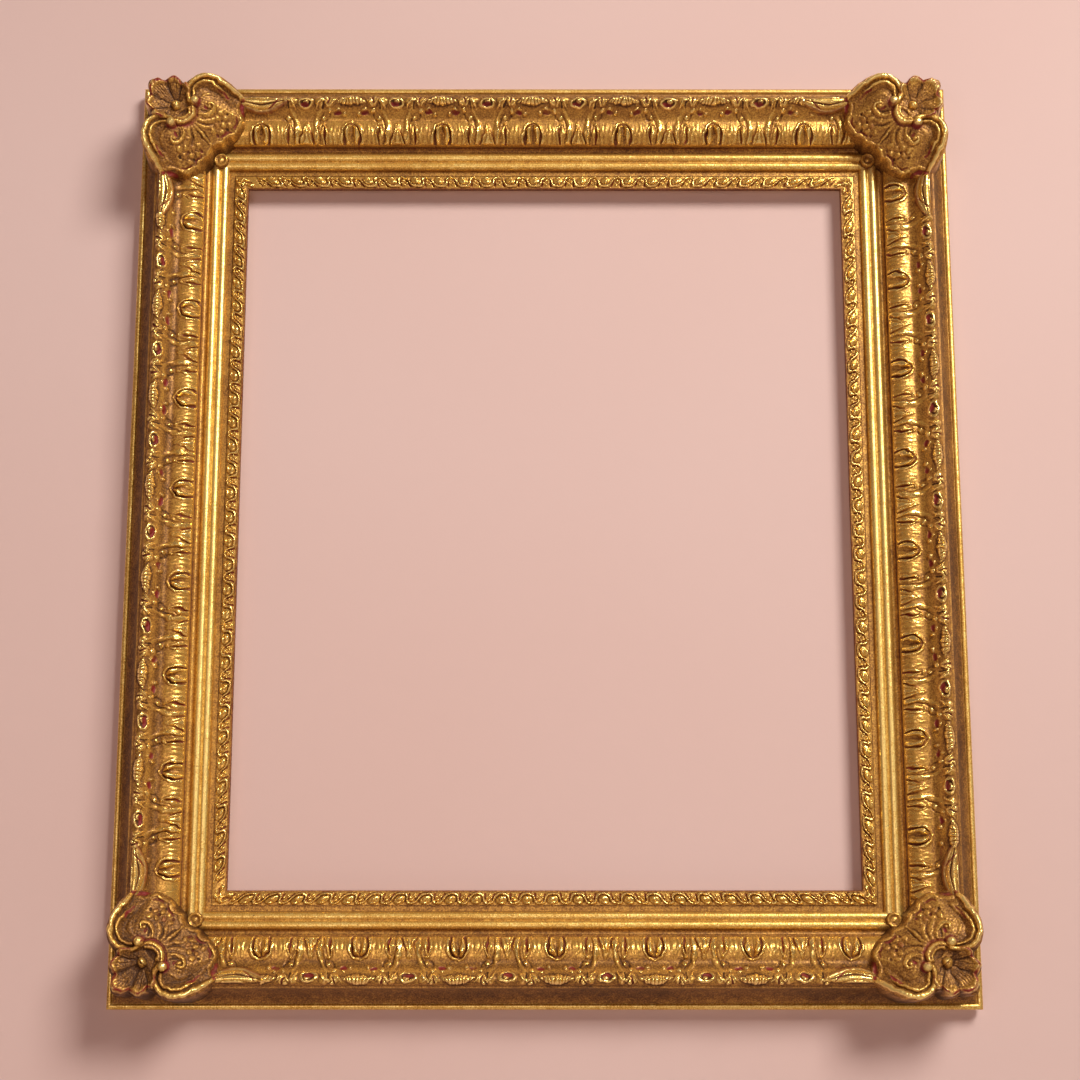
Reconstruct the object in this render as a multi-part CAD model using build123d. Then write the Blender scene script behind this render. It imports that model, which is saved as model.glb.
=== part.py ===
from build123d import *
import math
import os

# Carved and gilded picture frame for a 60 x 70 cm picture, hung on a wall.
# +X is to the right, +Z is up and the front faces -Y. The origin is the centre of the wall plane,
# which the four rubber bumpers touch. Lengths are millimetres.
# Across a rail, an offset is counted inwards from the outer edge, and a height forwards from the
# back of the wood.

# Picture
picture_width = 600.0
picture_height = 700.0
picture_play = 1.5  # free space between the picture's edge and the rebate wall
picture_cover = 5.0  # how far the sight edge laps over the picture

# Moulding, widths in order from the outer edge to the sight edge
edge_bead_width = 5.6
quirk_width = 0.8
cavetto_width = 13.2
crest_fillet_width = 1.9
ridge_seat_width = 12.0
leaf_seat_width = 32.5
leaf_quirk_width = 1.0
hollow_width = 5.4
outer_roll_width = 8.6
inner_roll_width = 8.2
frieze_width = 4.3
line_width = 0.9
sight_seat_width = 12.2
sight_fillet_width = 1.4

# Moulding, heights above the back of the wood
edge_height = 9.5
edge_bead_height = 12.4
quirk_height = 10.8
cavetto_start_height = 13.0
crest_height = 40.5
ridge_seat_height = 39.0
leaf_seat_high = 33.0
leaf_seat_low = 18.0
leaf_quirk_height = 16.5
hollow_height = 14.6
roll_valley_height = 16.0
outer_roll_height = 18.8
inner_roll_height = 17.2
inner_roll_foot_height = 13.2
frieze_height = 11.0
line_depth = 0.8
sight_fillet_height = 13.0
sight_round = 0.8
rebate_depth = 8.0

# Where the arcs of the moulding bulge, as shares of their own width and rise
bead_crown_share = 0.45
cavetto_mid_shares = (0.73, 0.455)
roll_crown_share = 0.45
roll_end_share = 0.93

# Carved strips
seat_play = 0.3  # glue line between a strip's side and the side of its seat
ridge_strip_side = 2.6  # height of the strip's sides above its seat
ridge_strip_crown = 6.4  # height of the strip's crown above its seat
leaf_strip_root = 8.0  # thickness at the ridge
leaf_strip_neck = 2.6  # least thickness, in the cove
leaf_strip_crown = 8.6  # thickness at the crown of the leaf roll
leaf_strip_foot = 5.0  # thickness at the foot of the leaf roll
leaf_neck_share = 0.30
leaf_crown_share = 0.66
leaf_cove_shares = (0.60, 0.20)  # middle of the cove's arc: of the neck's way along, and of its depth
leaf_rise_shares = (0.25, 0.30)  # where the cove meets the leaf roll: along it, and of its thickness
sight_strip_base = 2.0

# Repeats along the strips
motif_pitch = 90.0
eye_places = {"bottom": -34.4, "right": 19.0, "top": 33.4, "left": -11.0}
bud_length = 18.0
bud_radius = 4.6
bud_overlap = 1.6
collar_radius = 4.9
collar_width = 3.0
eye_length = 16.0
eye_radius = 3.6
berry_radius = 2.4
berry_reach = 16.0
tongue_length = 21.0
tongue_radius = 7.5
tongue_sink = 4.0
flute_length = 23.0
flute_radius = 2.6
flute_sink = 1.0
flute_spread = 7.0
side_leaf_length = 19.0
side_leaf_radius = 4.0
side_leaf_reach = 19.0
spray_length = 44.0
spray_radius = 5.4
sight_pitch = 23.6
disc_radius = 5.7
disc_rise = 2.2
curl_radius = 2.8
curl_rise = 1.7

# Corner cartouche, in a corner frame: two offsets, from the two outer edges
cartouche_reach = 109.0
cartouche_table = 66.0  # height of its flat outer field
cartouche_fall = 0.72  # slope of the field towards its ends and its inner rim
fall_start_share = 0.66
inner_fall_start_share = 0.50
glue_line = 0.3
# Half of the outline, from the palmette's tip to the neck: each arc's middle and end
outline_start_share = 0.150
outline_arc_shares = (
    ((0.175, 0.120), (0.245, 0.140)),
    ((0.300, 0.100), (0.360, 0.120)),
    ((0.410, 0.088), (0.465, 0.150)),
    ((0.545, 0.092), (0.660, 0.078)),
    ((0.800, 0.105), (0.960, 0.210)),
    ((1.000, 0.260), (0.975, 0.330)),
    ((0.975, 0.420), (0.930, 0.490)),
    ((0.915, 0.590), (0.845, 0.610)),
    ((0.830, 0.680), (0.765, 0.685)),
)
neck_share = 0.690
# Centre line of the C-scroll: two offsets as shares of the reach, and a height as a share of the table
scroll_path_shares = (
    (0.560, 0.375, 1.04),
    (0.480, 0.235, 1.08),
    (0.555, 0.115, 1.10),
    (0.730, 0.112, 1.06),
    (0.870, 0.185, 0.86),
    (0.965, 0.265, 0.62),
)
scroll_band_radius = 3.9
scroll_bend_radius = 7.0
volute_radius = 5.4
centre_bead_radius = 5.0
centre_share = 0.392
lobe_turns = (0.0, 39.0, -39.0, 74.0, -74.0)  # degrees from the diagonal
lobe_lengths = (26.0, 23.0, 23.0, 15.0, 15.0)
lobe_root_radius = 3.0
lobe_tip_radius = 6.0
crescent_radius = 13.0
crescent_band_radius = 3.0
crescent_half_turn = 75.0
crescent_share = 0.445
dish_radius = 26.0
dish_depth = 5.0
dish_shares = (0.700, 0.335)

# Rosette on the mitre
rosette_radius = 7.3
rosette_height = 22.5
rosette_rim_radius = 1.5
rosette_dimple_radius = 7.5
rosette_dimple_depth = 1.6

# V-nails, driven across each mitre from the back
nail_leg = 9.0
nail_thickness = 0.8
nail_depth = 11.0
nail_play = 0.1
nail_shares = (0.30, 0.62)  # along the mitre, of the rail's width

# Bumpers
bumper_thickness = 5.0
bumper_radius = 7.0
bumper_offset = 24.0
bumper_rise = 62.0

# Screws
screw_shank_radius = 1.5
screw_head_radius = 3.1
screw_head_rim = 0.5
screw_head_rise = 1.1
screw_length = 12.0
screw_thread_play = 0.1

# D-ring hangers
strap_offset = 30.0
strap_length = 38.0
strap_width = 14.0
strap_thickness = 1.0
strap_screw_shares = (0.22, 0.66)
strap_hole_play = 0.2
hanger_drop = 215.0  # from the frame's top edge to the hangers
ring_wire_radius = 1.1
ring_play = 0.1
ring_width = 24.0
ring_reach = 18.0
ring_corner_radius = 3.0
ring_bow_radius = 11.5

# Turn buttons
button_length = 32.0
button_width = 10.0
button_thickness = 1.2
button_setback = 9.0  # from the rebate wall to the pivot
button_lift = 0.2
button_pivot_play = 0.1
button_side_share = 0.27  # of the picture's width or height, from its middle

# Values that follow from the ones above
overrun = 2.0
section_widths = (
    edge_bead_width,
    quirk_width,
    cavetto_width,
    crest_fillet_width,
    ridge_seat_width,
    leaf_seat_width,
    leaf_quirk_width,
    hollow_width,
    outer_roll_width,
    inner_roll_width,
    frieze_width,
    line_width,
    sight_seat_width,
    sight_fillet_width,
)
rail_width = sum(section_widths)
lip_width = picture_cover + picture_play
frame_width = picture_width - 2 * picture_cover + 2 * rail_width
frame_height = picture_height - 2 * picture_cover + 2 * rail_width
back_y = -bumper_thickness
sides = {
    "bottom": (0, frame_width, frame_height),
    "left": (90, frame_height, frame_width),
    "top": (180, frame_width, frame_height),
    "right": (270, frame_height, frame_width),
}
corners = {"bottom_left": 0, "top_left": 90, "top_right": 180, "bottom_right": 270}


def station(count):
    """Offset of the end of the first `count` members of the moulding."""
    return sum(section_widths[:count])


def at(offset, height, along=0.0):
    """Point of the bottom rail's frame: outer edge at zero, the rail lying along X."""
    return Vector(along, back_y - height, offset)


def trace(start, *steps):
    """Closed face in the section plane; a step is a point, or the middle and end of an arc."""
    edges = []
    here = start
    for step in steps:
        if isinstance(step[0], tuple):
            middle, end = step
            edges.append(ThreePointArc(at(*here), at(*middle), at(*end)))
        else:
            end = step
            edges.append(Line(at(*here), at(*end)))
        here = end
    edges.append(Line(at(*here), at(*start)))
    return make_face(Wire(edges))


def between(low, high, share):
    """Value at a share of the way from low to high."""
    return low + (high - low) * share


def rail_section():
    """Wooden moulding with its rebate and the flat seats of the carved strips."""
    bead, quirk, cavetto, crest, ridge, leaf = (station(n) for n in range(1, 7))
    band, hollow, outer_roll, inner_roll, frieze, line = (station(n) for n in range(7, 13))
    fillet = station(13)
    rebate_wall = rail_width - lip_width
    cavetto_mid = (
        between(quirk, cavetto, cavetto_mid_shares[0]),
        between(cavetto_start_height, crest_height, cavetto_mid_shares[1]),
    )
    outer_roll_end = between(hollow, outer_roll, roll_end_share)
    inner_roll_end = between(outer_roll, inner_roll, roll_end_share)
    return trace(
        (0.0, 0.0),
        (0.0, edge_height),
        ((edge_bead_width * bead_crown_share, edge_bead_height), (bead, quirk_height)),
        (quirk, quirk_height),
        (quirk, cavetto_start_height),
        (cavetto_mid, (cavetto, crest_height)),
        (crest, crest_height),
        (crest, ridge_seat_height),
        (ridge, ridge_seat_height),
        (ridge, leaf_seat_high),
        (leaf, leaf_seat_low),
        (leaf, leaf_quirk_height),
        (band, leaf_quirk_height),
        ((between(band, hollow, 0.5), hollow_height), (hollow, leaf_quirk_height)),
        (
            (between(hollow, outer_roll, roll_crown_share), outer_roll_height),
            (outer_roll_end, roll_valley_height),
        ),
        (outer_roll, roll_valley_height),
        (
            (between(outer_roll, inner_roll, roll_crown_share), inner_roll_height),
            (inner_roll_end, inner_roll_foot_height),
        ),
        (inner_roll, frieze_height),
        (frieze, frieze_height),
        (frieze, frieze_height - line_depth),
        (line, frieze_height - line_depth),
        (line, frieze_height),
        (fillet, frieze_height),
        (fillet, sight_fillet_height),
        (rail_width - sight_round, sight_fillet_height),
        (rail_width, sight_fillet_height - sight_round),
        (rail_width, rebate_depth),
        (rebate_wall, rebate_depth),
        (rebate_wall, 0.0),
    )


def ridge_strip_section():
    """Rounded bar that the ridge's buds and eyes stand on."""
    low, high = station(4) + seat_play, station(5)
    side = ridge_seat_height + ridge_strip_side
    crown = (between(low, high, 0.5), ridge_seat_height + ridge_strip_crown)
    return trace((low, ridge_seat_height), (low, side), (crown, (high, side)), (high, ridge_seat_height))


def leaf_seat(share):
    """Offset and height of a point on the slanted seat of the leaf strip."""
    low, high = station(5) + seat_play, station(6)
    return between(low, high, share), between(leaf_seat_high, leaf_seat_low, share)


def leaf_surface(share, thickness):
    """Point at a thickness above the slanted seat."""
    offset, height = leaf_seat(share)
    return offset, height + thickness


def leaf_strip_section():
    """Cove that rises to the ridge, then the roll that the leaves lie on."""
    cove_along, cove_depth = leaf_cove_shares
    rise_along, rise_depth = leaf_rise_shares
    cove_middle = leaf_surface(
        leaf_neck_share * cove_along, between(leaf_strip_neck, leaf_strip_root, cove_depth)
    )
    cove_end = leaf_surface(
        between(leaf_neck_share, leaf_crown_share, rise_along),
        between(leaf_strip_neck, leaf_strip_crown, rise_depth),
    )
    return trace(
        leaf_seat(0.0),
        leaf_surface(0.0, leaf_strip_root),
        (cove_middle, cove_end),
        (leaf_surface(leaf_crown_share, leaf_strip_crown), leaf_surface(1.0, leaf_strip_foot)),
        leaf_seat(1.0),
    )


def sight_strip_section():
    """Flat base of the sight edge's discs and curls."""
    low, high = station(12) + seat_play, station(13) - seat_play
    top = frieze_height + sight_strip_base
    return trace((low, frieze_height), (low, top), (high, top), (high, frieze_height))


def bar(section, length):
    """Section run out along X, half each way."""
    return extrude(section, amount=length / 2, dir=(1, 0, 0), both=True)


def mitred(solid, length):
    """Trims both ends of a bottom rail piece at 45 degrees."""
    reach = rail_width + overrun
    half = length / 2
    corners_xz = [(-half, 0.0), (half, 0.0), (half - reach, reach), (reach - half, reach)]
    face = make_face(Polyline([Vector(x, 0.0, z) for x, z in corners_xz], close=True))
    depth = bumper_thickness + crest_height + overrun
    return solid & extrude(face, amount=depth, dir=(0, -1, 0))


def lens(length, radius):
    """Spindle-shaped solid along X: an arc turned about its own chord."""
    arc = ThreePointArc((-length / 2, 0.0), (0.0, radius), (length / 2, 0.0))
    chord = Line((length / 2, 0.0), (-length / 2, 0.0))
    return revolve(make_face(Wire([arc, chord])), axis=Axis.X)


def dome(radius, rise, sink):
    """Round cap that rises towards -Y from a short cylinder."""
    side = Line((radius, sink), (radius, 0.0))
    round_radius = (radius**2 + rise**2) / (2 * rise)
    half_angle = math.asin(radius / round_radius) / 2
    middle = (round_radius * math.sin(half_angle), round_radius * (1 - math.cos(half_angle)) - rise)
    cap = ThreePointArc((radius, 0.0), middle, (0.0, -rise))
    axis_line = Line((0.0, -rise), (0.0, sink))
    base = Line((0.0, sink), (radius, sink))
    return revolve(make_face(Wire([side, cap, axis_line, base])), axis=Axis.Y)


def places(first, pitch, low, high):
    """Every place from low to high that lies a whole number of pitches from the first."""
    count = math.ceil((low - first) / pitch)
    found = []
    while first + count * pitch <= high:
        found.append(first + count * pitch)
        count += 1
    return found


def first_eye(side):
    """Place of one eye along the rail: the rails at the top and left run against +X and +Z."""
    return -eye_places[side] if side in ("top", "left") else eye_places[side]


def eye_places_along(side, length):
    """Places of the ridge's eyes on one rail, clear of the leaf sprays at its ends."""
    reach = length / 2 - cartouche_reach - spray_length
    return places(first_eye(side), motif_pitch, -reach, reach)


def bud_places_along(side, length):
    """Places of the double buds, half-way between the eyes."""
    reach = length / 2 - cartouche_reach - spray_length - bud_length
    return places(first_eye(side) + motif_pitch / 2, motif_pitch, -reach, reach)


def ridge_strip_room():
    """Section of the space in which the ridge's forms may stand, from their seat upwards."""
    low, high = station(4) + seat_play, station(5)
    top = ridge_seat_height + ridge_strip_crown + spray_radius
    return trace((low, ridge_seat_height), (low, top), (high, top), (high, ridge_seat_height))


def ridge_strip(side, length):
    """Ridge carving: double buds with a collar, eyes, berries and a leaf spray at each end."""
    crown = ridge_seat_height + ridge_strip_crown
    middle = between(station(4), station(5), 0.5)
    forms = []
    for x in bud_places_along(side, length):
        for way in (-1, 1):
            bud_x = x + way * (bud_length - bud_overlap) / 2
            forms.append(Pos(at(middle, crown - bud_radius / 2, bud_x)) * lens(bud_length, bud_radius))
            berry_at = at(station(5) - berry_radius, crown - berry_radius / 2, x + way * berry_reach)
            forms.append(Pos(berry_at) * Sphere(berry_radius))
        collar_at = Pos(at(middle, crown - bud_radius / 2, x)) * Rot(0, 90, 0)
        forms.append(collar_at * Cylinder(collar_radius, collar_width))
    for x in eye_places_along(side, length):
        forms.append(Pos(at(middle, crown - eye_radius / 2, x)) * lens(eye_length, eye_radius))
    for way in (-1, 1):
        spray_x = way * (length / 2 - cartouche_reach - spray_length / 2)
        spray_at = at(middle, crown - spray_radius / 2, spray_x)
        forms.append(Pos(spray_at) * lens(spray_length, spray_radius))
    strip = bar(ridge_strip_section(), length - cartouche_reach)
    room = bar(ridge_strip_room(), length)
    return cut_for_cartouches(strip + [form & room for form in forms], length)


def leaf_strip(side, length):
    """Leaf carving: a tongue under each double bud, a fan and two small leaves under each eye."""
    across = leaf_surface(leaf_crown_share, leaf_strip_crown)
    foot = leaf_surface(1.0, leaf_strip_foot)
    fall = math.degrees(math.atan2(across[1] - foot[1], foot[0] - across[0])) / 2
    lie = Rot(fall, 0, 0) * Rot(0, 90, 0)
    forms = []
    for x in bud_places_along(side, length):
        tongue_at = Pos(at(across[0], across[1] - tongue_sink, x))
        forms.append(tongue_at * lie * lens(tongue_length, tongue_radius))
    for x in eye_places_along(side, length):
        for way in (-1, 0, 1):
            flute_at = Pos(at(across[0], across[1] - flute_sink, x + way * flute_spread))
            forms.append(flute_at * lie * lens(flute_length, flute_radius))
        for way in (-1, 1):
            leaf_at = Pos(at(across[0], across[1] - side_leaf_radius / 2, x + way * side_leaf_reach))
            forms.append(leaf_at * lie * lens(side_leaf_length, side_leaf_radius))
    strip = bar(leaf_strip_section(), length - cartouche_reach)
    room = bar(leaf_strip_room(), length)
    return cut_for_cartouches(strip + [form & room for form in forms], length)


def leaf_strip_room():
    """Section of the space in which the leaves may stand, from their seat upwards."""
    high = leaf_strip_root + leaf_strip_crown
    return trace(leaf_seat(0.0), leaf_surface(0.0, high), leaf_surface(1.0, high), leaf_seat(1.0))


def sight_strip(length):
    """Sight edge carving: discs with a small curl between them, mitred at the corners."""
    top = frieze_height + sight_strip_base
    middle = between(station(12), station(13), 0.5)
    reach = length / 2 - rail_width - disc_radius
    forms = []
    for x in places(0.0, sight_pitch, -reach, reach):
        forms.append(Pos(at(middle, top, x)) * dome(disc_radius, disc_rise, sight_strip_base / 2))
    for x in places(sight_pitch / 2, sight_pitch, -reach, reach):
        forms.append(Pos(at(middle, top, x)) * dome(curl_radius, curl_rise, sight_strip_base / 2))
    return mitred(bar(sight_strip_section(), length), length) + forms


def outline_face(growth):
    """Outline of the cartouche in the corner frame, grown outwards by a clearance."""

    def point(u, v):
        return Vector(u * cartouche_reach, 0.0, v * cartouche_reach)

    near = []
    here = (outline_start_share, outline_start_share)
    for middle, end in outline_arc_shares:
        near.append(ThreePointArc(point(*here), point(*middle), point(*end)))
        here = end
    near.append(Line(point(*here), point(neck_share, neck_share)))
    far = [mirror(edge, about=diagonal_plane()) for edge in near]
    face = make_face(Wire([edge.edges()[0] for edge in near + far])).face()
    if growth:
        face = make_face(offset(face.outer_wire(), amount=growth, kind=Kind.INTERSECTION)).face()
    return face


def diagonal_plane():
    """Plane of the mitre in the corner frame."""
    return Plane(origin=(0, 0, 0), z_dir=(1, 0, -1))


def corner_block(growth, top):
    """Outline of the cartouche run forwards from inside the wood to a height."""
    low = rebate_depth
    return Pos(0, back_y - low, 0) * extrude(outline_face(growth), amount=top - low, dir=(0, -1, 0))


def cut_for_cartouches(strip, length):
    """Takes the two cartouches' room out of a strip, and keeps the strip between them."""
    block = corner_block(glue_line, cartouche_table)
    left = Pos(-length / 2, 0, 0) * block
    right = mirror(left, about=Plane.YZ)
    room = Pos(0, back_y - cartouche_table / 2, rail_width / 2) * Box(
        length - 2 * cartouche_reach * fall_start_share, cartouche_table, rail_width
    )
    cut = (strip & room) - left - right
    return max(cut.solids(), key=lambda solid: solid.volume)


def carcass_corner():
    """The two mouldings at a corner, raised by the glue line, to cut what sits on them."""
    arm = cartouche_reach + overrun
    run = extrude(rail_section(), amount=arm, dir=(1, 0, 0))
    wedge_points = [Vector(0, 0, 0), Vector(arm, 0, 0), Vector(arm, 0, arm)]
    wedge = extrude(make_face(Polyline(wedge_points, close=True)), amount=crest_height * 2, dir=(0, -1, 0))
    lower = run & wedge
    return Pos(0, -glue_line, 0) * (lower + mirror(lower, about=diagonal_plane()))


def fall_cutter(start, direction):
    """Half space above a plane that falls away from the cartouche's table."""
    along = Vector(*direction).normalized()
    slope = math.hypot(1.0, cartouche_fall)
    up = Vector(0, -1, 0)
    normal = (up + along * cartouche_fall) / slope
    origin = along * start + up * (cartouche_table - back_y)
    size = cartouche_reach * 4
    return Plane(origin=origin, x_dir=along.cross(normal), z_dir=normal) * (
        Pos(0, 0, size / 2) * Box(size, size, size)
    )


def scroll_band():
    """C-scroll of the cartouche: a round band with a ball at its curled end."""
    points = [
        at(v * cartouche_reach, h * cartouche_table, u * cartouche_reach)
        for u, v, h in scroll_path_shares
    ]
    path = FilletPolyline(*points, radius=scroll_bend_radius)
    start = Plane(origin=path @ 0, z_dir=path % 0)
    band = sweep(start * Circle(scroll_band_radius), path=path)
    return band + Pos(points[0]) * Sphere(volute_radius) + Pos(points[-1]) * Sphere(scroll_band_radius)


def palmette():
    """Lobes that fan from the centre bead towards the corner."""
    centre = at(centre_share * cartouche_reach, cartouche_table, centre_share * cartouche_reach)
    forms = [Pos(centre + Vector(0, -centre_bead_radius / 2, 0)) * Sphere(centre_bead_radius)]
    for turn, length in zip(lobe_turns, lobe_lengths):
        angle = math.radians(turn) + math.radians(225)
        along = Vector(math.cos(angle), 0, math.sin(angle))
        lobe = Cone(lobe_root_radius, lobe_tip_radius, length, align=(Align.CENTER, Align.CENTER, Align.MIN))
        forms.append(Plane(origin=centre, z_dir=along) * lobe)
        forms.append(Pos(centre + along * length) * Sphere(lobe_tip_radius))
    return forms


def crescent():
    """Crescent under the centre bead, open towards the corner."""
    centre = at(crescent_share * cartouche_reach, cartouche_table, crescent_share * cartouche_reach)
    ends = [math.radians(45 + way * crescent_half_turn) for way in (-1, 0, 1)]
    arc = ThreePointArc(
        *[centre + Vector(math.cos(angle), 0, math.sin(angle)) * crescent_radius for angle in ends]
    )
    start = Plane(origin=arc @ 0, z_dir=arc % 0)
    return sweep(start * Circle(crescent_band_radius), path=arc)


def cartouche():
    """Corner cartouche in the corner frame of the bottom left corner."""
    body = corner_block(0.0, cartouche_table)
    body -= fall_cutter(cartouche_reach * fall_start_share, (1, 0, 0))
    body -= fall_cutter(cartouche_reach * fall_start_share, (0, 0, 1))
    diagonal_start = cartouche_reach * inner_fall_start_share * math.sqrt(2)
    body -= fall_cutter(diagonal_start, (1, 0, 1))
    u, v = (share * cartouche_reach for share in dish_shares)
    dish_height = cartouche_table + dish_radius - dish_depth
    dish = Pos(at(v, dish_height, u)) * Sphere(dish_radius)
    body -= [dish, mirror(dish, about=diagonal_plane())]
    band = scroll_band()
    body += [band, mirror(band, about=diagonal_plane()), crescent(), *palmette()]
    return body - carcass_corner() - rosette_disc(glue_line, cartouche_table)


def rosette_disc(growth, top):
    """Plain disc of the rosette, from inside the wood up to a height, grown by a clearance."""
    centre = (station(8) + station(10)) / 2
    height = top - rebate_depth
    disc = Cylinder(rosette_radius + growth, height)
    return Pos(at(centre, rebate_depth + height / 2, centre)) * Rot(90, 0, 0) * disc


def rosette():
    """Ring boss with a dimple, on the mitre, in the corner frame."""
    centre = (station(8) + station(10)) / 2
    disc = rosette_disc(0.0, rosette_height)
    rim_radius = rosette_radius - rosette_rim_radius
    rim = Pos(at(centre, rosette_height, centre)) * Rot(90, 0, 0) * Torus(rim_radius, rosette_rim_radius)
    dimple_height = rosette_height + rosette_dimple_radius - rosette_dimple_depth
    dimple = Pos(at(centre, dimple_height, centre)) * Sphere(rosette_dimple_radius)
    return disc + rim - dimple - carcass_corner()


def v_nail(play):
    """One V-nail with its bend on the mitre, in the corner frame, grown all round by a play."""
    leg = nail_leg + play
    thickness = nail_thickness + 2 * play
    low = -nail_thickness / 2 - play
    depth = nail_depth + play
    corner = (Align.MIN, Align.MAX, Align.MIN)
    across = Pos(low, back_y, low) * Box(leg, depth, thickness, align=corner)
    upward = Pos(low, back_y, low) * Box(thickness, depth, leg, align=corner)
    return across + upward


def corner_nails(play):
    """Both V-nails of a corner, in the corner frame."""
    spots = [share * rail_width for share in nail_shares]
    return [Pos(spot, 0, spot) * v_nail(play) for spot in spots]


def screw(head_y):
    """Round-headed screw: the head's flat lies at head_y and the shank runs towards -Y."""
    head = Pos(0, screw_head_rim, 0) * Rot(180, 0, 0) * dome(screw_head_radius, screw_head_rise, screw_head_rim)
    shank = Cylinder(screw_shank_radius, screw_length, align=(Align.CENTER, Align.CENTER, Align.MIN))
    return Pos(0, head_y, 0) * (head + Rot(90, 0, 0) * shank)


def pilot_hole(head_y):
    """Hole in the wood that one screw's shank goes into."""
    radius = screw_shank_radius + screw_thread_play
    length = screw_length - head_y + back_y + screw_thread_play
    hole = Cylinder(radius, length, align=(Align.CENTER, Align.CENTER, Align.MIN))
    return Pos(0, back_y, 0) * Rot(90, 0, 0) * hole


def hanger_height():
    """Height of the hangers above the frame's centre."""
    return frame_height / 2 - hanger_drop


def strap_screw_places():
    """Places of one hanger's screws, in X, for the left hanger."""
    left_end = -frame_width / 2 + strap_offset
    return [left_end + share * strap_length for share in strap_screw_shares]


def ring_axis():
    """X and Y of the left ring's hinge axis."""
    radius = ring_wire_radius + ring_play + strap_thickness
    return -frame_width / 2 + strap_offset + strap_length + radius, back_y + radius


def hanger_strap():
    """Left hanger's strap, bent round the ring's straight side."""
    axis_x, axis_y = ring_axis()
    left_end = -frame_width / 2 + strap_offset
    plate_size = (axis_x - left_end, strap_thickness, strap_width)
    plate = Pos(left_end, back_y, hanger_height()) * Box(
        *plate_size, align=(Align.MIN, Align.MIN, Align.CENTER)
    )
    barrel = Pos(axis_x, axis_y, hanger_height()) * Cylinder(axis_y - back_y, strap_width)
    bore = Pos(axis_x, axis_y, hanger_height()) * Cylinder(
        ring_wire_radius + ring_play, strap_width + overrun
    )
    strap = plate + barrel - bore
    hole = Rot(90, 0, 0) * Cylinder(screw_shank_radius + strap_hole_play, strap_thickness * 4)
    return strap - [Pos(x, back_y, hanger_height()) * hole for x in strap_screw_places()]


def hanger_ring():
    """Left hanger's D-ring, lying flat and pointing at the frame's middle."""
    axis_x, axis_y = ring_axis()
    half = ring_width / 2
    corners_uv = [(0.0, -half), (0.0, half), (ring_reach, half), (ring_reach, -half)]
    points = [Vector(axis_x + u, axis_y, hanger_height() + v) for u, v in corners_uv]
    radii = [ring_corner_radius, ring_corner_radius, ring_bow_radius, ring_bow_radius]
    outline = FilletPolyline(*points, radius=radii, close=True)
    start = Plane(origin=outline @ 0, z_dir=outline % 0)
    return sweep(start * Circle(ring_wire_radius), path=outline)


def button_place(length, way):
    """Pivot of a turn button in the bottom rail's frame."""
    picture_side = length - 2 * rail_width + 2 * picture_cover
    along = way * button_side_share * picture_side
    return Vector(along, back_y + button_lift, rail_width - lip_width - button_setback)


def turn_button(way):
    """Turn button about its own pivot, lying along the rail and pointing away from its middle."""
    reach = button_length - button_width
    middle = Pos(way * reach / 2, 0, 0) * Rot(-90, 0, 0)
    blank = middle * extrude(SlotCenterToCenter(reach, button_width), amount=button_thickness)
    pivot = Rot(90, 0, 0) * Cylinder(screw_shank_radius + button_pivot_play, button_thickness * 4)
    return blank - pivot


def button_screw_head():
    """Where the flat of a turn button's screw head lies."""
    return back_y + 2 * button_lift + button_thickness


def on_side(shape, side):
    """Moves a piece from the bottom rail's frame to one of the four sides."""
    turn, _, across = sides[side]
    return Rot(0, turn, 0) * (Pos(0, 0, -across / 2) * shape)


def on_corner(shape, corner):
    """Moves a piece from the corner frame to one of the four corners."""
    turn = corners[corner]
    wide, tall = (frame_height, frame_width) if turn % 180 else (frame_width, frame_height)
    return Rot(0, turn, 0) * (Pos(-wide / 2, 0, -tall / 2) * shape)


def wood_rail(side):
    """Mitred rail with the pilot holes and nail slots of its own stretch."""
    _, length, _ = sides[side]
    rail = on_side(mitred(bar(rail_section(), length), length), side)
    cuts = []
    for corner in corners:
        cuts += [on_corner(nail, corner) for nail in corner_nails(nail_play)]
    for way in (-1, 1):
        pivot = button_place(length, way)
        cuts.append(on_side(Pos(pivot.X, 0, pivot.Z) * pilot_hole(button_screw_head()), side))
    for x in strap_screw_places():
        for way in (1, -1):
            strap_hole = pilot_hole(back_y + strap_thickness)
            cuts.append(Pos(way * x, 0, hanger_height()) * strap_hole)
    box = rail.bounding_box()
    near = [cut for cut in cuts if touches(box, cut.bounding_box())]
    return rail - near


def touches(first, second):
    """Whether two boxes share any space."""
    a, b, c, d = first.min, first.max, second.min, second.max
    wide = a.X < d.X and c.X < b.X
    deep = a.Y < d.Y and c.Y < b.Y
    tall = a.Z < d.Z and c.Z < b.Z
    return wide and deep and tall


def save(name, shape):
    """Writes one piece, or one group of alike pieces, to its own file."""
    solids = shape.solids()
    whole = solids[0] if len(solids) == 1 else Compound(children=list(solids))
    whole.label = name
    export_step(whole, f"parts/{name}.step")
    return whole


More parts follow.
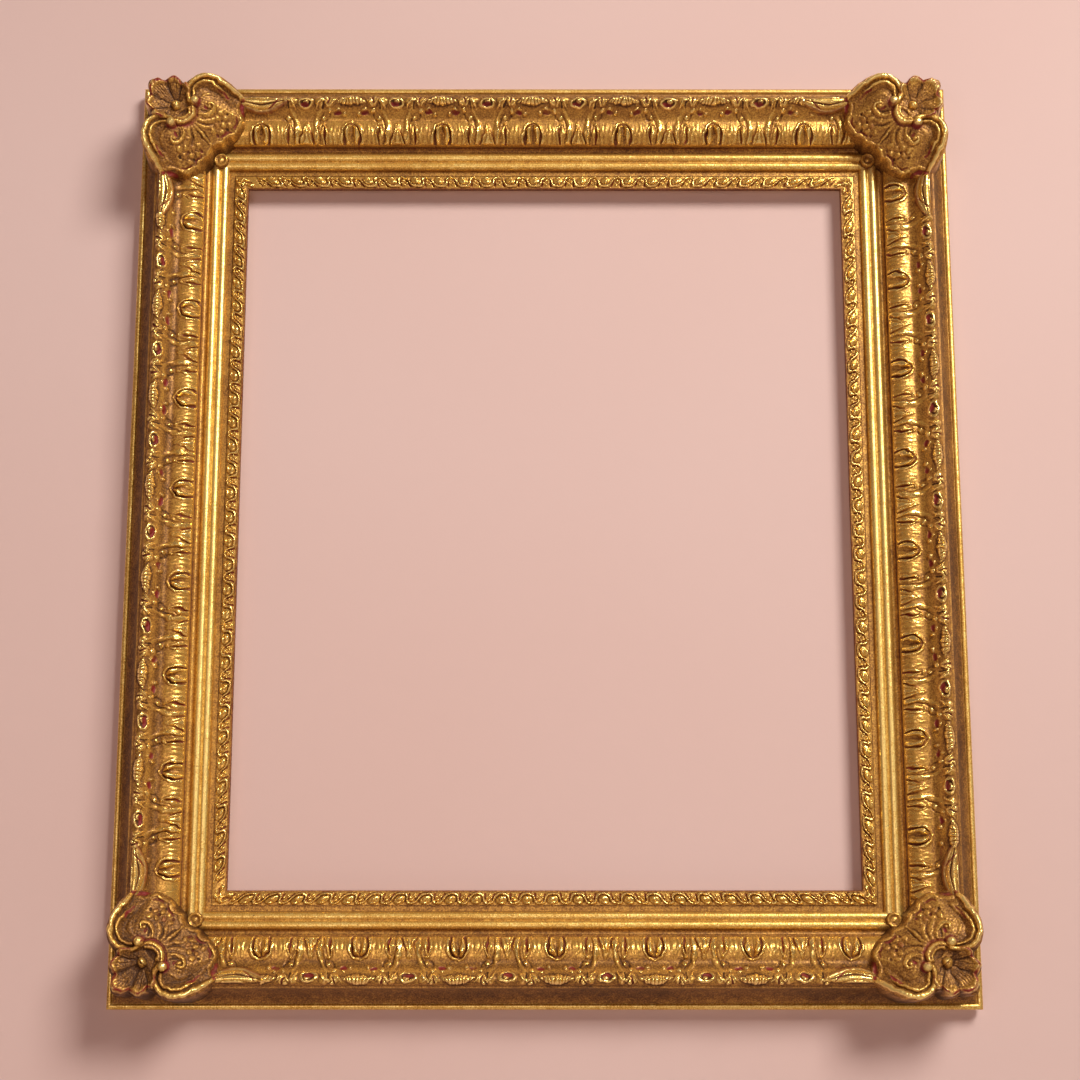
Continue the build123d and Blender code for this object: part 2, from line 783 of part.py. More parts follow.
def main():
    """Builds and writes every piece."""
    os.makedirs("parts", exist_ok=True)
    for side, (_, length, _) in sides.items():
        save(f"rail_{side}", wood_rail(side))
        save(f"ridge_carving_{side}", on_side(ridge_strip(side, length), side))
        save(f"leaf_carving_{side}", on_side(leaf_strip(side, length), side))
        save(f"sight_carving_{side}", on_side(sight_strip(length), side))
    corner_casting, mitre_rosette = cartouche(), rosette()
    for corner in corners:
        save(f"corner_cartouche_{corner}", on_corner(corner_casting, corner))
        save(f"mitre_rosette_{corner}", on_corner(mitre_rosette, corner))
    nails = [on_corner(nail, corner) for corner in corners for nail in corner_nails(0.0)]
    save("v_nails", Compound(children=[solid for nail in nails for solid in nail.solids()]))

    bumper = Rot(90, 0, 0) * Cylinder(
        bumper_radius, bumper_thickness, align=(Align.CENTER, Align.CENTER, Align.MIN)
    )
    for tall, high in (("bottom", -1), ("top", 1)):
        for wide, right in (("left", -1), ("right", 1)):
            x = right * (frame_width / 2 - bumper_offset)
            z = high * (frame_height / 2 - bumper_rise)
            save(f"wall_bumper_{tall}_{wide}", Pos(x, 0, z) * bumper)

    strap, ring = hanger_strap(), hanger_ring()
    save("hanger_strap_left", strap)
    save("hanger_strap_right", mirror(strap, about=Plane.YZ))
    save("hanger_ring_left", ring)
    save("hanger_ring_right", mirror(ring, about=Plane.YZ))
    strap_screw = screw(back_y + strap_thickness)
    strap_screws = [
        Pos(way * x, 0, hanger_height()) * strap_screw for x in strap_screw_places() for way in (-1, 1)
    ]
    save("hanger_screws", Compound(children=[part.solids()[0] for part in strap_screws]))

    button_screws = []
    for side, (_, length, _) in sides.items():
        for way, place in ((-1, "a"), (1, "b")):
            pivot = button_place(length, way)
            save(f"turn_button_{side}_{place}", on_side(Pos(pivot) * turn_button(way), side))
            pivot_screw = Pos(pivot.X, 0, pivot.Z) * screw(button_screw_head())
            button_screws.append(on_side(pivot_screw, side).solids()[0])
    save("turn_button_screws", Compound(children=button_screws))


main()
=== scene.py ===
"""Looks of a carved and gilded picture frame that hangs on a plain wall.

The frame lies in the XZ plane with its front to -Y and the wall at y = 0. Sections are written in
millimetres: `along` a rail from its middle, `offset` inwards from the outer edge and `height`
forwards from the back of the wood. One scale turns them into metres.
"""

import logging
import math
from collections.abc import Callable, Sequence
from dataclasses import dataclass, field
from enum import Enum

import bmesh
import bpy
import numpy as np
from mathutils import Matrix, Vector

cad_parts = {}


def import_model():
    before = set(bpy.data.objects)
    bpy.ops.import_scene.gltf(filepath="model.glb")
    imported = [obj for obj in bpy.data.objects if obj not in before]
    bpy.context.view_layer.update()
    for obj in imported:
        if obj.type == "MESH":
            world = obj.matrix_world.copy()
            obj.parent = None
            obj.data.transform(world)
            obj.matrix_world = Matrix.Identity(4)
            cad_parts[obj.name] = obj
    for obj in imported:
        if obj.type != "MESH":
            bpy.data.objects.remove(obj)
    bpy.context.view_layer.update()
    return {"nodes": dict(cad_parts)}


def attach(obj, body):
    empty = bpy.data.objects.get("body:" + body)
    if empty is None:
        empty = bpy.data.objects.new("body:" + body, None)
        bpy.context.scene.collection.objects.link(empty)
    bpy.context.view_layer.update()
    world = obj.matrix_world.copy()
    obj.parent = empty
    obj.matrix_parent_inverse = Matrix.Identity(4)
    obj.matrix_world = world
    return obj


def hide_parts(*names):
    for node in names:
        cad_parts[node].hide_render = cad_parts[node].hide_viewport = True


log = logging.getLogger("picture_frame")

METRES = 0.001
FRAME_BODY = "frame"
TINY = 1e-9

Point = tuple[float, float]
Array = np.ndarray
Socket = bpy.types.NodeSocket
Value = Socket | float | tuple | None


class Turned(Enum):
    """A place on the frame, with its turn about Y from the bottom left in degrees."""

    @property
    def label(self) -> str:
        """Name used in the node names."""
        return self.name.lower()


class Side(Turned):
    """The four rails."""

    BOTTOM = 0
    LEFT = 90
    TOP = 180
    RIGHT = 270

    @property
    def is_upright(self) -> bool:
        """Whether the rail stands upright."""
        return self in (Side.LEFT, Side.RIGHT)


class Corner(Turned):
    """The four corners."""

    BOTTOM_LEFT = 0
    TOP_LEFT = 90
    TOP_RIGHT = 180
    BOTTOM_RIGHT = 270


@dataclass(frozen=True)
class FrameSize:
    """Overall sizes of the frame, in millimetres."""

    width: float = 806.0
    height: float = 906.0
    rail: float = 108.0
    back: float = 5.0
    lip: float = 6.5

    def length(self, side: Side) -> float:
        """Outer length of one rail."""
        return self.height if side.is_upright else self.width

    def across(self, side: Side) -> float:
        """Outer size of the frame square to one rail."""
        return self.width if side.is_upright else self.height


SIZE = FrameSize()


@dataclass(frozen=True)
class Section:
    """Offsets where the members of the moulding end, and their heights, in millimetres."""

    bead: float = 5.6
    quirk: float = 6.4
    cavetto: float = 19.6
    crest: float = 21.5
    ridge: float = 33.5
    leaf: float = 66.0
    leaf_quirk: float = 67.0
    hollow: float = 72.4
    outer_roll: float = 81.0
    inner_roll: float = 89.2
    frieze: float = 93.5
    line: float = 94.4
    sight_seat: float = 106.6
    edge_height: float = 9.5
    bead_height: float = 12.4
    quirk_height: float = 10.8
    cavetto_foot: float = 13.0
    crest_height: float = 40.5
    ridge_seat: float = 39.0
    leaf_seat_high: float = 33.0
    leaf_seat_low: float = 18.0
    leaf_quirk_height: float = 16.5
    hollow_height: float = 14.6
    valley_height: float = 16.0
    outer_roll_height: float = 18.8
    inner_roll_height: float = 17.2
    inner_roll_foot: float = 13.2
    frieze_height: float = 11.0
    line_depth: float = 0.8
    sight_height: float = 13.0
    sight_round: float = 0.8
    rebate: float = 8.0
    crown_share: float = 0.45
    roll_end_share: float = 0.93
    cavetto_share: float = 0.73
    cavetto_rise_share: float = 0.455


SECTION = Section()


def turned(points: Array, degrees: float) -> Array:
    """Turns points about Y.

    Args:
        points: Points in a trailing axis of three.
        degrees: Turn, from +Z towards +X.

    Returns:
        The turned points, in an array of the same shape.
    """
    angle = math.radians(degrees)
    cos, sin = math.cos(angle), math.sin(angle)
    x, y, z = points[..., 0], points[..., 1], points[..., 2]
    return np.stack((x * cos + z * sin, y, -x * sin + z * cos), axis=-1)


def rail_points(side: Side, along: Array, offset: Array, height: Array) -> Array:
    """Places points given in a rail's own section and turns them into metres."""
    along, offset, height = np.broadcast_arrays(along, offset, height)
    local = np.stack((along, -SIZE.back - height, offset - SIZE.across(side) / 2), axis=-1)
    return turned(local, side.value) * METRES


def corner_points(corner: Corner, across: Array, upward: Array, height: Array) -> Array:
    """Places points given by their offsets from a corner's two outer edges, in metres."""
    across, upward, height = np.broadcast_arrays(across, upward, height)
    sideways = corner.value % 180 == 90
    wide, tall = (SIZE.height, SIZE.width) if sideways else (SIZE.width, SIZE.height)
    local = np.stack((across - wide / 2, -SIZE.back - height, upward - tall / 2), axis=-1)
    return turned(local, corner.value) * METRES


def smoothstep(low: float, high: float, value: Array) -> Array:
    """Smooth change from 0 at low to 1 at high."""
    share = np.clip((value - low) / (high - low), 0.0, 1.0)
    return share * share * (3.0 - 2.0 * share)


def bell(value: Array, middle: float, width: float) -> Array:
    """Bell curve of height 1."""
    return np.exp(-(((value - middle) / width) ** 2))


def mound(distance: Array, power: float = 0.5) -> Array:
    """Round mound of height 1 that ends where the distance is 1."""
    return np.clip(1.0 - distance**2, 0.0, 1.0) ** power


def waves(value: Array, seed: int, lengths: Sequence[float]) -> Array:
    """Smooth irregular waves between about -1 and 1, as a hand's unevenness along a line."""
    dice = np.random.default_rng(seed)
    total = np.zeros_like(value, dtype=float)
    for length in lengths:
        phase = dice.uniform(0.0, math.tau)
        total += np.sin(value / length * math.tau + phase) / len(lengths)
    return total


def swayed(u: Array, v: Array, seed: int, reach: float) -> tuple[Array, Array]:
    """Coordinates that wander by a hand's unevenness, so that no two motifs come out alike.

    Args:
        u: First coordinate of each vertex.
        v: Second coordinate of each vertex.
        seed: Start of the random draws.
        reach: Largest shift.

    Returns:
        Both coordinates.
    """
    shift_u = waves(u + 0.7 * v, seed, (43.0, 23.0, 13.0, 7.9))
    shift_v = waves(u - 0.4 * v, seed + 1, (37.0, 19.0, 11.0, 7.1))
    return u + 1.6 * reach * shift_u, v + reach * shift_v


def pitched(first: float, pitch: float, reach: float) -> Array:
    """Places a pitch apart, one of them the first, within a reach of the middle."""
    start, stop = math.ceil((-reach - first) / pitch), math.floor((reach - first) / pitch)
    return first + pitch * np.arange(start, stop + 1)


def curve_points(points: Sequence[Sequence[float]], steps: int = 7) -> Array:
    """Smooth curve through points.

    Args:
        points: Points of any one dimension.
        steps: Steps from one point to the next.

    Returns:
        Points along the curve, both ends among them.
    """
    knots = np.asarray(points, dtype=float)
    if len(knots) < 3:
        share = np.linspace(0.0, 1.0, steps + 1)[:, None]
        return knots[0] * (1.0 - share) + knots[1] * share
    before = np.vstack((2 * knots[0] - knots[1], knots[:-1]))
    after = np.vstack((knots[1:], 2 * knots[-1] - knots[-2]))
    tangent = (after - before) / 2
    share = np.linspace(0.0, 1.0, steps, endpoint=False)[:, None]
    pieces = []
    for i in range(len(knots) - 1):
        square, cube = share**2, share**3
        pieces.append(
            knots[i] * (2 * cube - 3 * square + 1)
            + tangent[i] * (cube - 2 * square + share)
            + knots[i + 1] * (3 * square - 2 * cube)
            + tangent[i + 1] * (cube - square)
        )
    return np.vstack((*pieces, knots[-1:]))


def nearest_on(path: Array, u: Array, v: Array) -> tuple[Array, Array]:
    """Finds each vertex's nearest point on a path.

    Args:
        path: Points of the path.
        u: First coordinate of each vertex.
        v: Second coordinate of each vertex.

    Returns:
        The distance of that point, and its place counted in steps of the path.
    """
    gap = np.full(u.shape, np.inf)
    place = np.zeros(u.shape)
    for i, (start, end) in enumerate(zip(path[:-1], path[1:])):
        step = end - start
        du, dv = u - start[0], v - start[1]
        share = np.clip((du * step[0] + dv * step[1]) / max(float(step @ step), TINY), 0.0, 1.0)
        away = np.hypot(du - share * step[0], dv - share * step[1])
        nearer = away < gap
        gap = np.where(nearer, away, gap)
        place = np.where(nearer, i + share, place)
    return gap, place


def arc_points(start: Point, middle: Point, end: Point, steps: int) -> list[Point]:
    """Arc through three points, without its start."""
    (x1, y1), (x2, y2), (x3, y3) = start, middle, end
    turn = 2 * (x1 * (y2 - y3) + x2 * (y3 - y1) + x3 * (y1 - y2))
    s1, s2, s3 = x1 * x1 + y1 * y1, x2 * x2 + y2 * y2, x3 * x3 + y3 * y3
    cx = (s1 * (y2 - y3) + s2 * (y3 - y1) + s3 * (y1 - y2)) / turn
    cy = (s1 * (x3 - x2) + s2 * (x1 - x3) + s3 * (x2 - x1)) / turn
    first = math.atan2(y1 - cy, x1 - cx)
    sweep = math.remainder(math.atan2(y2 - cy, x2 - cx) - first, math.tau)
    sweep += math.remainder(math.atan2(y3 - cy, x3 - cx) - first - sweep, math.tau)
    radius = math.hypot(x1 - cx, y1 - cy)
    angles = (first + sweep * i / steps for i in range(1, steps + 1))
    return [(cx + radius * math.cos(angle), cy + radius * math.sin(angle)) for angle in angles]


def blurred(field_values: Array, reach: int) -> Array:
    """Mean over a square window of a grid, run twice for a soft window."""
    result = field_values
    for _ in range(2):
        for axis in (0, 1):
            pad = [(0, 0), (0, 0)]
            pad[axis] = (reach + 1, reach)
            total = np.cumsum(np.pad(result, pad, mode="edge"), axis=axis)
            size = 2 * reach + 1
            upper = np.take(total, range(size, total.shape[axis]), axis=axis)
            lower = np.take(total, range(total.shape[axis] - size), axis=axis)
            result = (upper - lower) / size
    return result


# Carving on a grid


@dataclass(frozen=True, kw_only=True)
class Form:
    """What every carved form has.

    Attributes:
        red: How much bole shows on it.
        dark: How much toning and painted shade lies on it, in its grooves and hollows; below zero it is
            lighter, as burnish and painted highlight.
        mirrored: Whether it has a twin on the other side of the motif.
    """

    red: float = 0.0
    dark: float = 0.0
    mirrored: bool = True


@dataclass(frozen=True)
class Dome(Form):
    """An elliptic mound or dimple.

    Attributes:
        centre: Place of its middle.
        radii: Its two radii, before it turns.
        rise: Its rise, or its depth where it is below zero.
        turn: Its turn in degrees.
    """

    centre: Point
    radii: Point
    rise: float
    turn: float = 0.0


@dataclass(frozen=True)
class Stroke(Form):
    """A ridge or groove cut along a curve.

    Attributes:
        path: Points that it runs through.
        widths: Half widths from its start to its end.
        rises: Rises from its start to its end, below zero for a groove.
    """

    path: tuple[Point, ...]
    widths: tuple[float, ...]
    rises: tuple[float, ...]


Mirror = Callable[[Array], Array]


def mirrored_along(points: Array) -> Array:
    """Twin of points on the other side of a motif on a rail."""
    return points * np.array((-1.0, 1.0))


def mirrored_diagonal(points: Array) -> Array:
    """Twin of points on the other side of a corner's diagonal."""
    return points[..., ::-1]


@dataclass
class Relief:
    """A grid that forms are carved into.

    Attributes:
        u: First coordinate of each vertex.
        v: Second coordinate of each vertex.
        rise: Height that the carving adds.
        red: Share of bole that shows.
        dark: Share of toning and painted shade that the carver's forms add.
        softness: Power of the forms' profile; a low one gives steep flanks, 1 a soft parabola.
        slack: How far a form's vertices are looked for outside its box, where the grid sways.
    """

    u: Array
    v: Array
    softness: float = 0.62
    slack: float = 0.0
    rise: Array = field(init=False)
    red: Array = field(init=False)
    dark: Array = field(init=False)

    def __post_init__(self) -> None:
        """Starts from an uncarved surface."""
        self.rise = np.zeros_like(self.u)
        self.red = np.zeros_like(self.u)
        self.dark = np.zeros_like(self.u)

    def window(self, low: Array, high: Array) -> tuple[slice, slice]:
        """Rows and columns of the grid that a box of coordinates covers."""
        low, high = low - self.slack, high + self.slack
        rows = np.flatnonzero((self.u[:, 0] >= low[0]) & (self.u[:, 0] <= high[0]))
        cols = np.flatnonzero((self.v[0, :] >= low[1]) & (self.v[0, :] <= high[1]))
        if not len(rows) or not len(cols):
            return slice(0, 0), slice(0, 0)
        return slice(rows[0], rows[-1] + 1), slice(cols[0], cols[-1] + 1)

    def add(self, window: tuple[slice, slice], shape: Array, rise: Array, form: Form) -> None:
        """Adds a form's rise and its colours where its shape lies."""
        self.rise[window] += rise * shape
        if form.red:
            self.red[window] = np.maximum(self.red[window], form.red * np.sqrt(shape))
        # A form's dark lays toning and painted shade; below zero it lightens the form, as burnish and
        # painted highlight.
        if form.dark > 0.0:
            self.dark[window] = np.maximum(self.dark[window], form.dark * np.sqrt(shape))
        if form.dark < 0.0:
            self.dark[window] += form.dark * shape

    def redden(self, share: Array) -> None:
        """Lets bole show where there was less of it."""
        self.red = np.maximum(self.red, share)

    def darken(self, share: Array) -> None:
        """Lays toning and painted shade where there was less of it."""
        self.dark = np.maximum(self.dark, share)

    def fade(self, share: Array) -> None:
        """Keeps only a share of the carving and its colours."""
        for grid in (self.rise, self.red, self.dark):
            grid *= share

    def dome(self, form: Dome, centre: Array, turn: float) -> None:
        """Carves one mound."""
        reach = max(form.radii)
        window = self.window(centre - reach, centre + reach)
        du, dv = self.u[window] - centre[0], self.v[window] - centre[1]
        cos, sin = math.cos(turn), math.sin(turn)
        along = (du * cos + dv * sin) / form.radii[0]
        across = (dv * cos - du * sin) / form.radii[1]
        self.add(window, mound(np.hypot(along, across), self.softness), np.float64(form.rise), form)

    def stroke(self, form: Stroke, path: Array) -> None:
        """Carves one ridge or groove along a path."""
        reach = max(form.widths)
        window = self.window(path.min(0) - reach, path.max(0) + reach)
        if not self.u[window].size:
            return
        gap, place = nearest_on(path, self.u[window], self.v[window])
        share = place / (len(path) - 1)
        width = np.interp(share, np.linspace(0.0, 1.0, len(form.widths)), form.widths)
        rise = np.interp(share, np.linspace(0.0, 1.0, len(form.rises)), form.rises)
        self.add(window, mound(gap / width, self.softness), rise, form)

    def carve(self, forms: Sequence[Form], origin: Point, mirror: Mirror) -> None:
        """Carves forms, and the twins of the mirrored ones, about an origin."""
        for form in forms:
            ways = (np.asarray, mirror) if form.mirrored else (np.asarray,)
            for way in ways:
                if isinstance(form, Dome):
                    angle = math.radians(form.turn)
                    centre, axis = way(np.array((form.centre, (math.cos(angle), math.sin(angle)))))
                    self.dome(form, centre + origin, math.atan2(axis[1], axis[0]))
                else:
                    self.stroke(form, way(curve_points(form.path, 5)) + origin)


# Meshes


@dataclass
class Surface:
    """Vertices of a mesh in rows and columns, with what its finish reads.

    Attributes:
        points: Places of the vertices in metres.
        values: One grid per named vertex attribute.
        slots: Material slot of each face's first column.
    """

    points: Array
    values: dict[str, Array]
    slots: Array | None = None


def grid_mesh(name: str, surface: Surface) -> tuple[bpy.types.Mesh, bmesh.types.BMesh]:
    """Grid of faces shaped to a surface, with its attributes, also opened for editing."""
    rows, cols = surface.points.shape[:2]
    bm = bmesh.new()
    bmesh.ops.create_grid(bm, x_segments=cols - 1, y_segments=rows - 1, size=1.0)
    mesh = bpy.data.meshes.new(name)
    bm.to_mesh(mesh)
    bm.free()
    flat = np.empty(len(mesh.vertices) * 3, np.float32)
    mesh.vertices.foreach_get("co", flat)
    flat = flat.reshape(-1, 3)
    col = np.rint((flat[:, 0] + 1.0) / 2.0 * (cols - 1)).astype(int)
    row = np.rint((flat[:, 1] + 1.0) / 2.0 * (rows - 1)).astype(int)
    mesh.vertices.foreach_set("co", surface.points[row, col].astype(np.float32).ravel())
    for key, grid in surface.values.items():
        attribute = mesh.attributes.new(key, "FLOAT", "POINT")
        attribute.data.foreach_set("value", grid[row, col].astype(np.float32))
    if surface.slots is not None:
        corners = np.empty(len(mesh.loops), np.int32)
        mesh.loops.foreach_get("vertex_index", corners)
        first_col = col[corners.reshape(-1, 4)].min(axis=1)
        mesh.polygons.foreach_set("material_index", surface.slots[first_col].astype(np.int32))
    bm = bmesh.new()
    bm.from_mesh(mesh)
    return mesh, bm


def linked(name: str, data: bpy.types.ID) -> bpy.types.Object:
    """Object of some data, in the scene."""
    obj = bpy.data.objects.new(name, data)
    bpy.context.scene.collection.objects.link(obj)
    return obj


def finished(name: str, mesh: bpy.types.Mesh, sharp: float) -> bpy.types.Object:
    """Object of a mesh, shaded smooth up to a sharp angle in degrees."""
    mesh.polygons.foreach_set("use_smooth", np.ones(len(mesh.polygons), dtype=bool))
    mesh.set_sharp_from_angle(angle=math.radians(sharp))
    mesh.update()
    triangles = sum(len(polygon.vertices) - 2 for polygon in mesh.polygons)
    log.info("%s: %d triangles", name, triangles)
    return linked(name, mesh)


def closed(name: str, mesh: bpy.types.Mesh, bm: bmesh.types.BMesh, sharp: float) -> bpy.types.Object:
    """Object of a mesh with its open ends filled and its faces turned outwards."""
    bmesh.ops.holes_fill(bm, edges=[edge for edge in bm.edges if edge.is_boundary], sides=0)
    bmesh.ops.recalc_face_normals(bm, faces=bm.faces)
    bm.to_mesh(mesh)
    bm.free()
    return finished(name, mesh, sharp)


def tube(name: str, surface: Surface, sharp: float, weld: float = 1e-7) -> bpy.types.Object:
    """Closed piece from rings of points, one ring in each row.

    Args:
        name: Name of the object.
        surface: Its rings; the last column repeats the first.
        sharp: Angle in degrees from which an edge stays sharp.
        weld: Distance in metres within which the border's vertices become one.

    Returns:
        The object, with its seam welded and its ends filled.
    """
    mesh, bm = grid_mesh(name, surface)
    border = [vert for vert in bm.verts if vert.is_boundary]
    bmesh.ops.remove_doubles(bm, verts=border, dist=weld)
    return closed(name, mesh, bm, sharp)


def plate(name: str, surface: Surface, keep: Array, seat: float, sharp: float) -> bpy.types.Object:
    """Closed piece from the kept part of a grid, with its edge run down to a flat back.

    Args:
        name: Name of the object.
        surface: Its front.
        keep: Which vertices of the front stay.
        seat: Place of the back on Y, in metres.
        sharp: Angle in degrees from which an edge stays sharp.

    Returns:
        The closed object.
    """
    surface.values["keep"] = keep.astype(float)
    mesh, bm = grid_mesh(name, surface)
    layer = bm.verts.layers.float["keep"]
    bmesh.ops.delete(bm, geom=[v for v in bm.verts if v[layer] < 0.5], context="VERTS")
    bmesh.ops.delete(bm, geom=[v for v in bm.verts if not v.link_faces], context="VERTS")
    rim = [edge for edge in bm.edges if edge.is_boundary]
    made = bmesh.ops.extrude_edge_only(bm, edges=rim)["geom"]
    for item in made:
        if isinstance(item, bmesh.types.BMVert):
            item.co.y = seat
    return closed(name, mesh, bm, sharp)


def ringed(grid: Array, *floor: float) -> Array:
    """Closes the rows of a strip's grid into rings over its seat.

    Args:
        grid: Values of the strip's face.
        *floor: Values at the far and the near edge of the seat, those of the face where not given.

    Returns:
        The grid with three more columns.
    """
    far, near = (np.full((len(grid), 1), value) for value in floor) if floor else (grid[:, -1:], grid[:, :1])
    return np.hstack((grid, far, near, grid[:, :1]))


def dressed(obj: bpy.types.Object, node: str, slot: str, *materials: bpy.types.Material) -> bpy.types.Object:
    """Gives an object its materials and puts it in place of a CAD node on the frame."""
    for material in materials:
        obj.data.materials.append(material)
    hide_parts(node)
    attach(obj, FRAME_BODY)
    return obj


def tone_of(height: Array, fine: int, broad: int) -> Array:
    """How far each vertex stands above its surroundings, in millimetres, fine and broad mixed."""
    return (height - blurred(height, fine)) + 0.5 * (height - blurred(height, broad))


# Materials


def linear(code: str) -> tuple[float, float, float, float]:
    """Colour for a shader from an sRGB hex code."""
    channels = [int(code[i : i + 2], 16) / 255 for i in (0, 2, 4)]
    straight = [c / 12.92 if c <= 0.04045 else ((c + 0.055) / 1.055) ** 2.4 for c in channels]
    return (*straight, 1.0)


@dataclass
class Graph:
    """Node tree of one material, with short ways to add to it."""

    name: str
    material: bpy.types.Material = field(init=False)
    shader: bpy.types.Node = field(init=False)
    output: bpy.types.Node = field(init=False)

    def __post_init__(self) -> None:
        """Makes the material with its shader."""
        self.material = bpy.data.materials.new(self.name)
        self.material.use_nodes = True
        nodes = self.material.node_tree.nodes
        self.shader = nodes["Principled BSDF"]
        self.output = nodes["Material Output"]

    def node(self, kind: str, inputs: dict | None = None, **settings) -> bpy.types.Node:
        """Adds one node.

        Args:
            kind: Type of the node.
            inputs: Input names or numbers, each with a value or the socket that feeds it.
            **settings: Properties of the node.

        Returns:
            The node.
        """
        made = self.material.node_tree.nodes.new(kind)
        for key, value in settings.items():
            setattr(made, key, value)
        for key, value in (inputs or {}).items():
            self.feed(made.inputs[key], value)
        return made

    def feed(self, socket: Socket, value: Value) -> None:
        """Sets a socket, or links another socket to it."""
        if isinstance(value, Socket):
            self.material.node_tree.links.new(value, socket)
        else:
            socket.default_value = value

    def attribute(self, name: str) -> Socket:
        """Value of a vertex attribute."""
        return self.node("ShaderNodeAttribute", attribute_name=name).outputs["Fac"]

    def place(self) -> Socket:
        """Object coordinates."""
        return self.node("ShaderNodeTexCoord").outputs["Object"]

    def noise(self, place: Socket, grain: float, detail: float = 2.0, rough: float = 0.5) -> Socket:
        """Noise between about 0 and 1, with grains of a size in millimetres."""
        scale = 1.0 / (grain * METRES)
        inputs = {"Vector": place, "Scale": scale, "Detail": detail, "Roughness": rough}
        return self.node("ShaderNodeTexNoise", inputs).outputs["Fac"]

    def math(self, operation: str, first: Value, second: Value = 0.0, clamp: bool = False) -> Socket:
        """Result of a sum on two values."""
        inputs = {0: first, 1: second}
        return self.node("ShaderNodeMath", inputs, operation=operation, use_clamp=clamp).outputs[0]

    def ramp(self, value: Value, stops: Sequence[tuple[float, str]]) -> Socket:
        """Colour that changes with a value."""
        made = self.node("ShaderNodeValToRGB", {0: value})
        elements = made.color_ramp.elements
        while len(elements) < len(stops):
            elements.new(0.5)
        for element, (place, code) in zip(elements, stops):
            element.position = place
            element.color = linear(code)
        return made.outputs["Color"]

    def span(self, value: Value, low: float, high: float, start: Value = 0.0, end: Value = 1.0) -> Socket:
        """Value moved from one range into another, and held inside it."""
        inputs = {0: value, 1: low, 2: high, 3: start, 4: end}
        return self.node("ShaderNodeMapRange", inputs, clamp=True).outputs[0]

    def mix(self, share: Value, first: Value, second: Value) -> Socket:
        """Mix of two colours."""
        made = self.node("ShaderNodeMix", data_type="RGBA")
        self.feed(made.inputs[0], share)
        self.feed(made.inputs[6], first)
        self.feed(made.inputs[7], second)
        return made.outputs[2]

    def bump(self, height: Value, strength: float, distance: float, below: Value = None) -> Socket:
        """Normal bent by a height in metres times the distance."""
        inputs = {"Height": height, "Strength": strength, "Distance": distance}
        if below is not None:
            inputs["Normal"] = below
        return self.node("ShaderNodeBump", inputs).outputs["Normal"]

    def surface(self, **values) -> bpy.types.Material:
        """Feeds the shader and gives back the material."""
        for key, value in values.items():
            self.feed(self.shader.inputs[key.replace("_", " ")], value)
        return self.material


# Sizes of the gilding's patterns in millimetres; the leaf's real grain is finer than the photo shows,
# so it is drawn as coarse as it needs to be seen
CLOUD_SIZE = 71.4
PATCH_SIZE = 7.69
GRAIN_SIZE = 1.5625
SPECK_GAP = 3.85
SPECK_CLOUD = 14.3


@dataclass(frozen=True)
class Gilding:
    """Gold leaf over red bole, toned down with umber, with painted highlight on crests and painted shade in
    hollows.

    Attributes:
        name: Name of the material.
        stops: Colours from the cleanest gold to the darkest toning.
        bole: Colour of the bole where the leaf is worn.
        speck: Colour of the dark specks.
        metallic: How metallic the clean leaf is; the rest is the matt part of its size and dust.
        rough_low: Roughness of clean gold.
        rough_high: Roughness of toned gold.
        grain: Strength of the fine grain.
        crest_highlight_gain: How strongly crests brighten.
        hollow_shade_gain: How strongly hollows darken.
        specks: Share of the surface under specks.
    """

    name: str
    stops: tuple[tuple[float, str], ...]
    bole: str = "822218"
    speck: str = "3A2412"
    metallic: float = 0.88
    rough_low: float = 0.14
    rough_high: float = 0.56
    grain: float = 0.4
    crest_highlight_gain: float = 0.42
    hollow_shade_gain: float = 0.18
    specks: float = 0.5

    def build(self) -> bpy.types.Material:
        """Makes the material."""
        g = Graph(self.name)
        place = g.place()
        broad = g.noise(place, CLOUD_SIZE, 3.0, 0.6)
        patch = g.noise(place, PATCH_SIZE, 3.0, 0.6)
        grain = g.noise(place, GRAIN_SIZE, 3.0, 0.7)
        tone = g.attribute("tone")
        # The tone lightens crests, as burnished gold and painted highlight, and darkens hollows with painted
        # shade.
        crest = g.math("MULTIPLY", g.math("MAXIMUM", tone, 0.0), -self.crest_highlight_gain)
        hollow = g.math("MULTIPLY", g.math("MINIMUM", tone, 0.0), -self.hollow_shade_gain)
        uneven = g.math("ADD", g.span(broad, 0.3, 0.7, -0.08, 0.08), g.span(patch, 0.3, 0.7, -0.09, 0.09))
        sprinkle = g.span(grain, 0.35, 0.65, -0.22, 0.22)
        # The toning attribute holds umber toning together with the painted shade that the pieces lay in
        # their hollows.
        carved = g.math("ADD", g.math("ADD", g.attribute("dirt"), crest), hollow)
        total = g.math("ADD", carved, g.math("ADD", uneven, sprinkle), clamp=True)
        colour = g.ramp(total, self.stops)
        worn = g.math("MULTIPLY", g.attribute("red"), g.span(patch, 0.34, 0.58, 0.35, 1.15), clamp=True)
        colour = g.mix(worn, colour, linear(self.bole))
        spots = g.node("ShaderNodeTexVoronoi", {"Vector": place, "Scale": 1.0 / (SPECK_GAP * METRES)})
        size = g.span(g.noise(place, SPECK_CLOUD, 1.0), 0.5, 0.75, 0.0, 0.16 * self.specks)
        spot = g.math("LESS_THAN", spots.outputs["Distance"], size)
        colour = g.mix(g.math("MULTIPLY", spot, 0.8), colour, linear(self.speck))
        covered = g.math("MAXIMUM", worn, spot)
        bare = g.span(covered, 0.0, 1.0, self.metallic, 0.05)
        metal = g.math("MULTIPLY", g.span(total, 0.10, 0.5, 1.0, 0.48), bare)
        toned = g.span(total, 0.0, 1.0, self.rough_low, self.rough_high)
        rough = g.math("ADD", toned, g.math("MULTIPLY", worn, 0.08))
        fine = g.bump(grain, self.grain, 0.0004)
        normal = g.bump(patch, 0.3, 0.0008, fine)
        return g.surface(Base_Color=colour, Metallic=metal, Roughness=rough, Normal=normal)


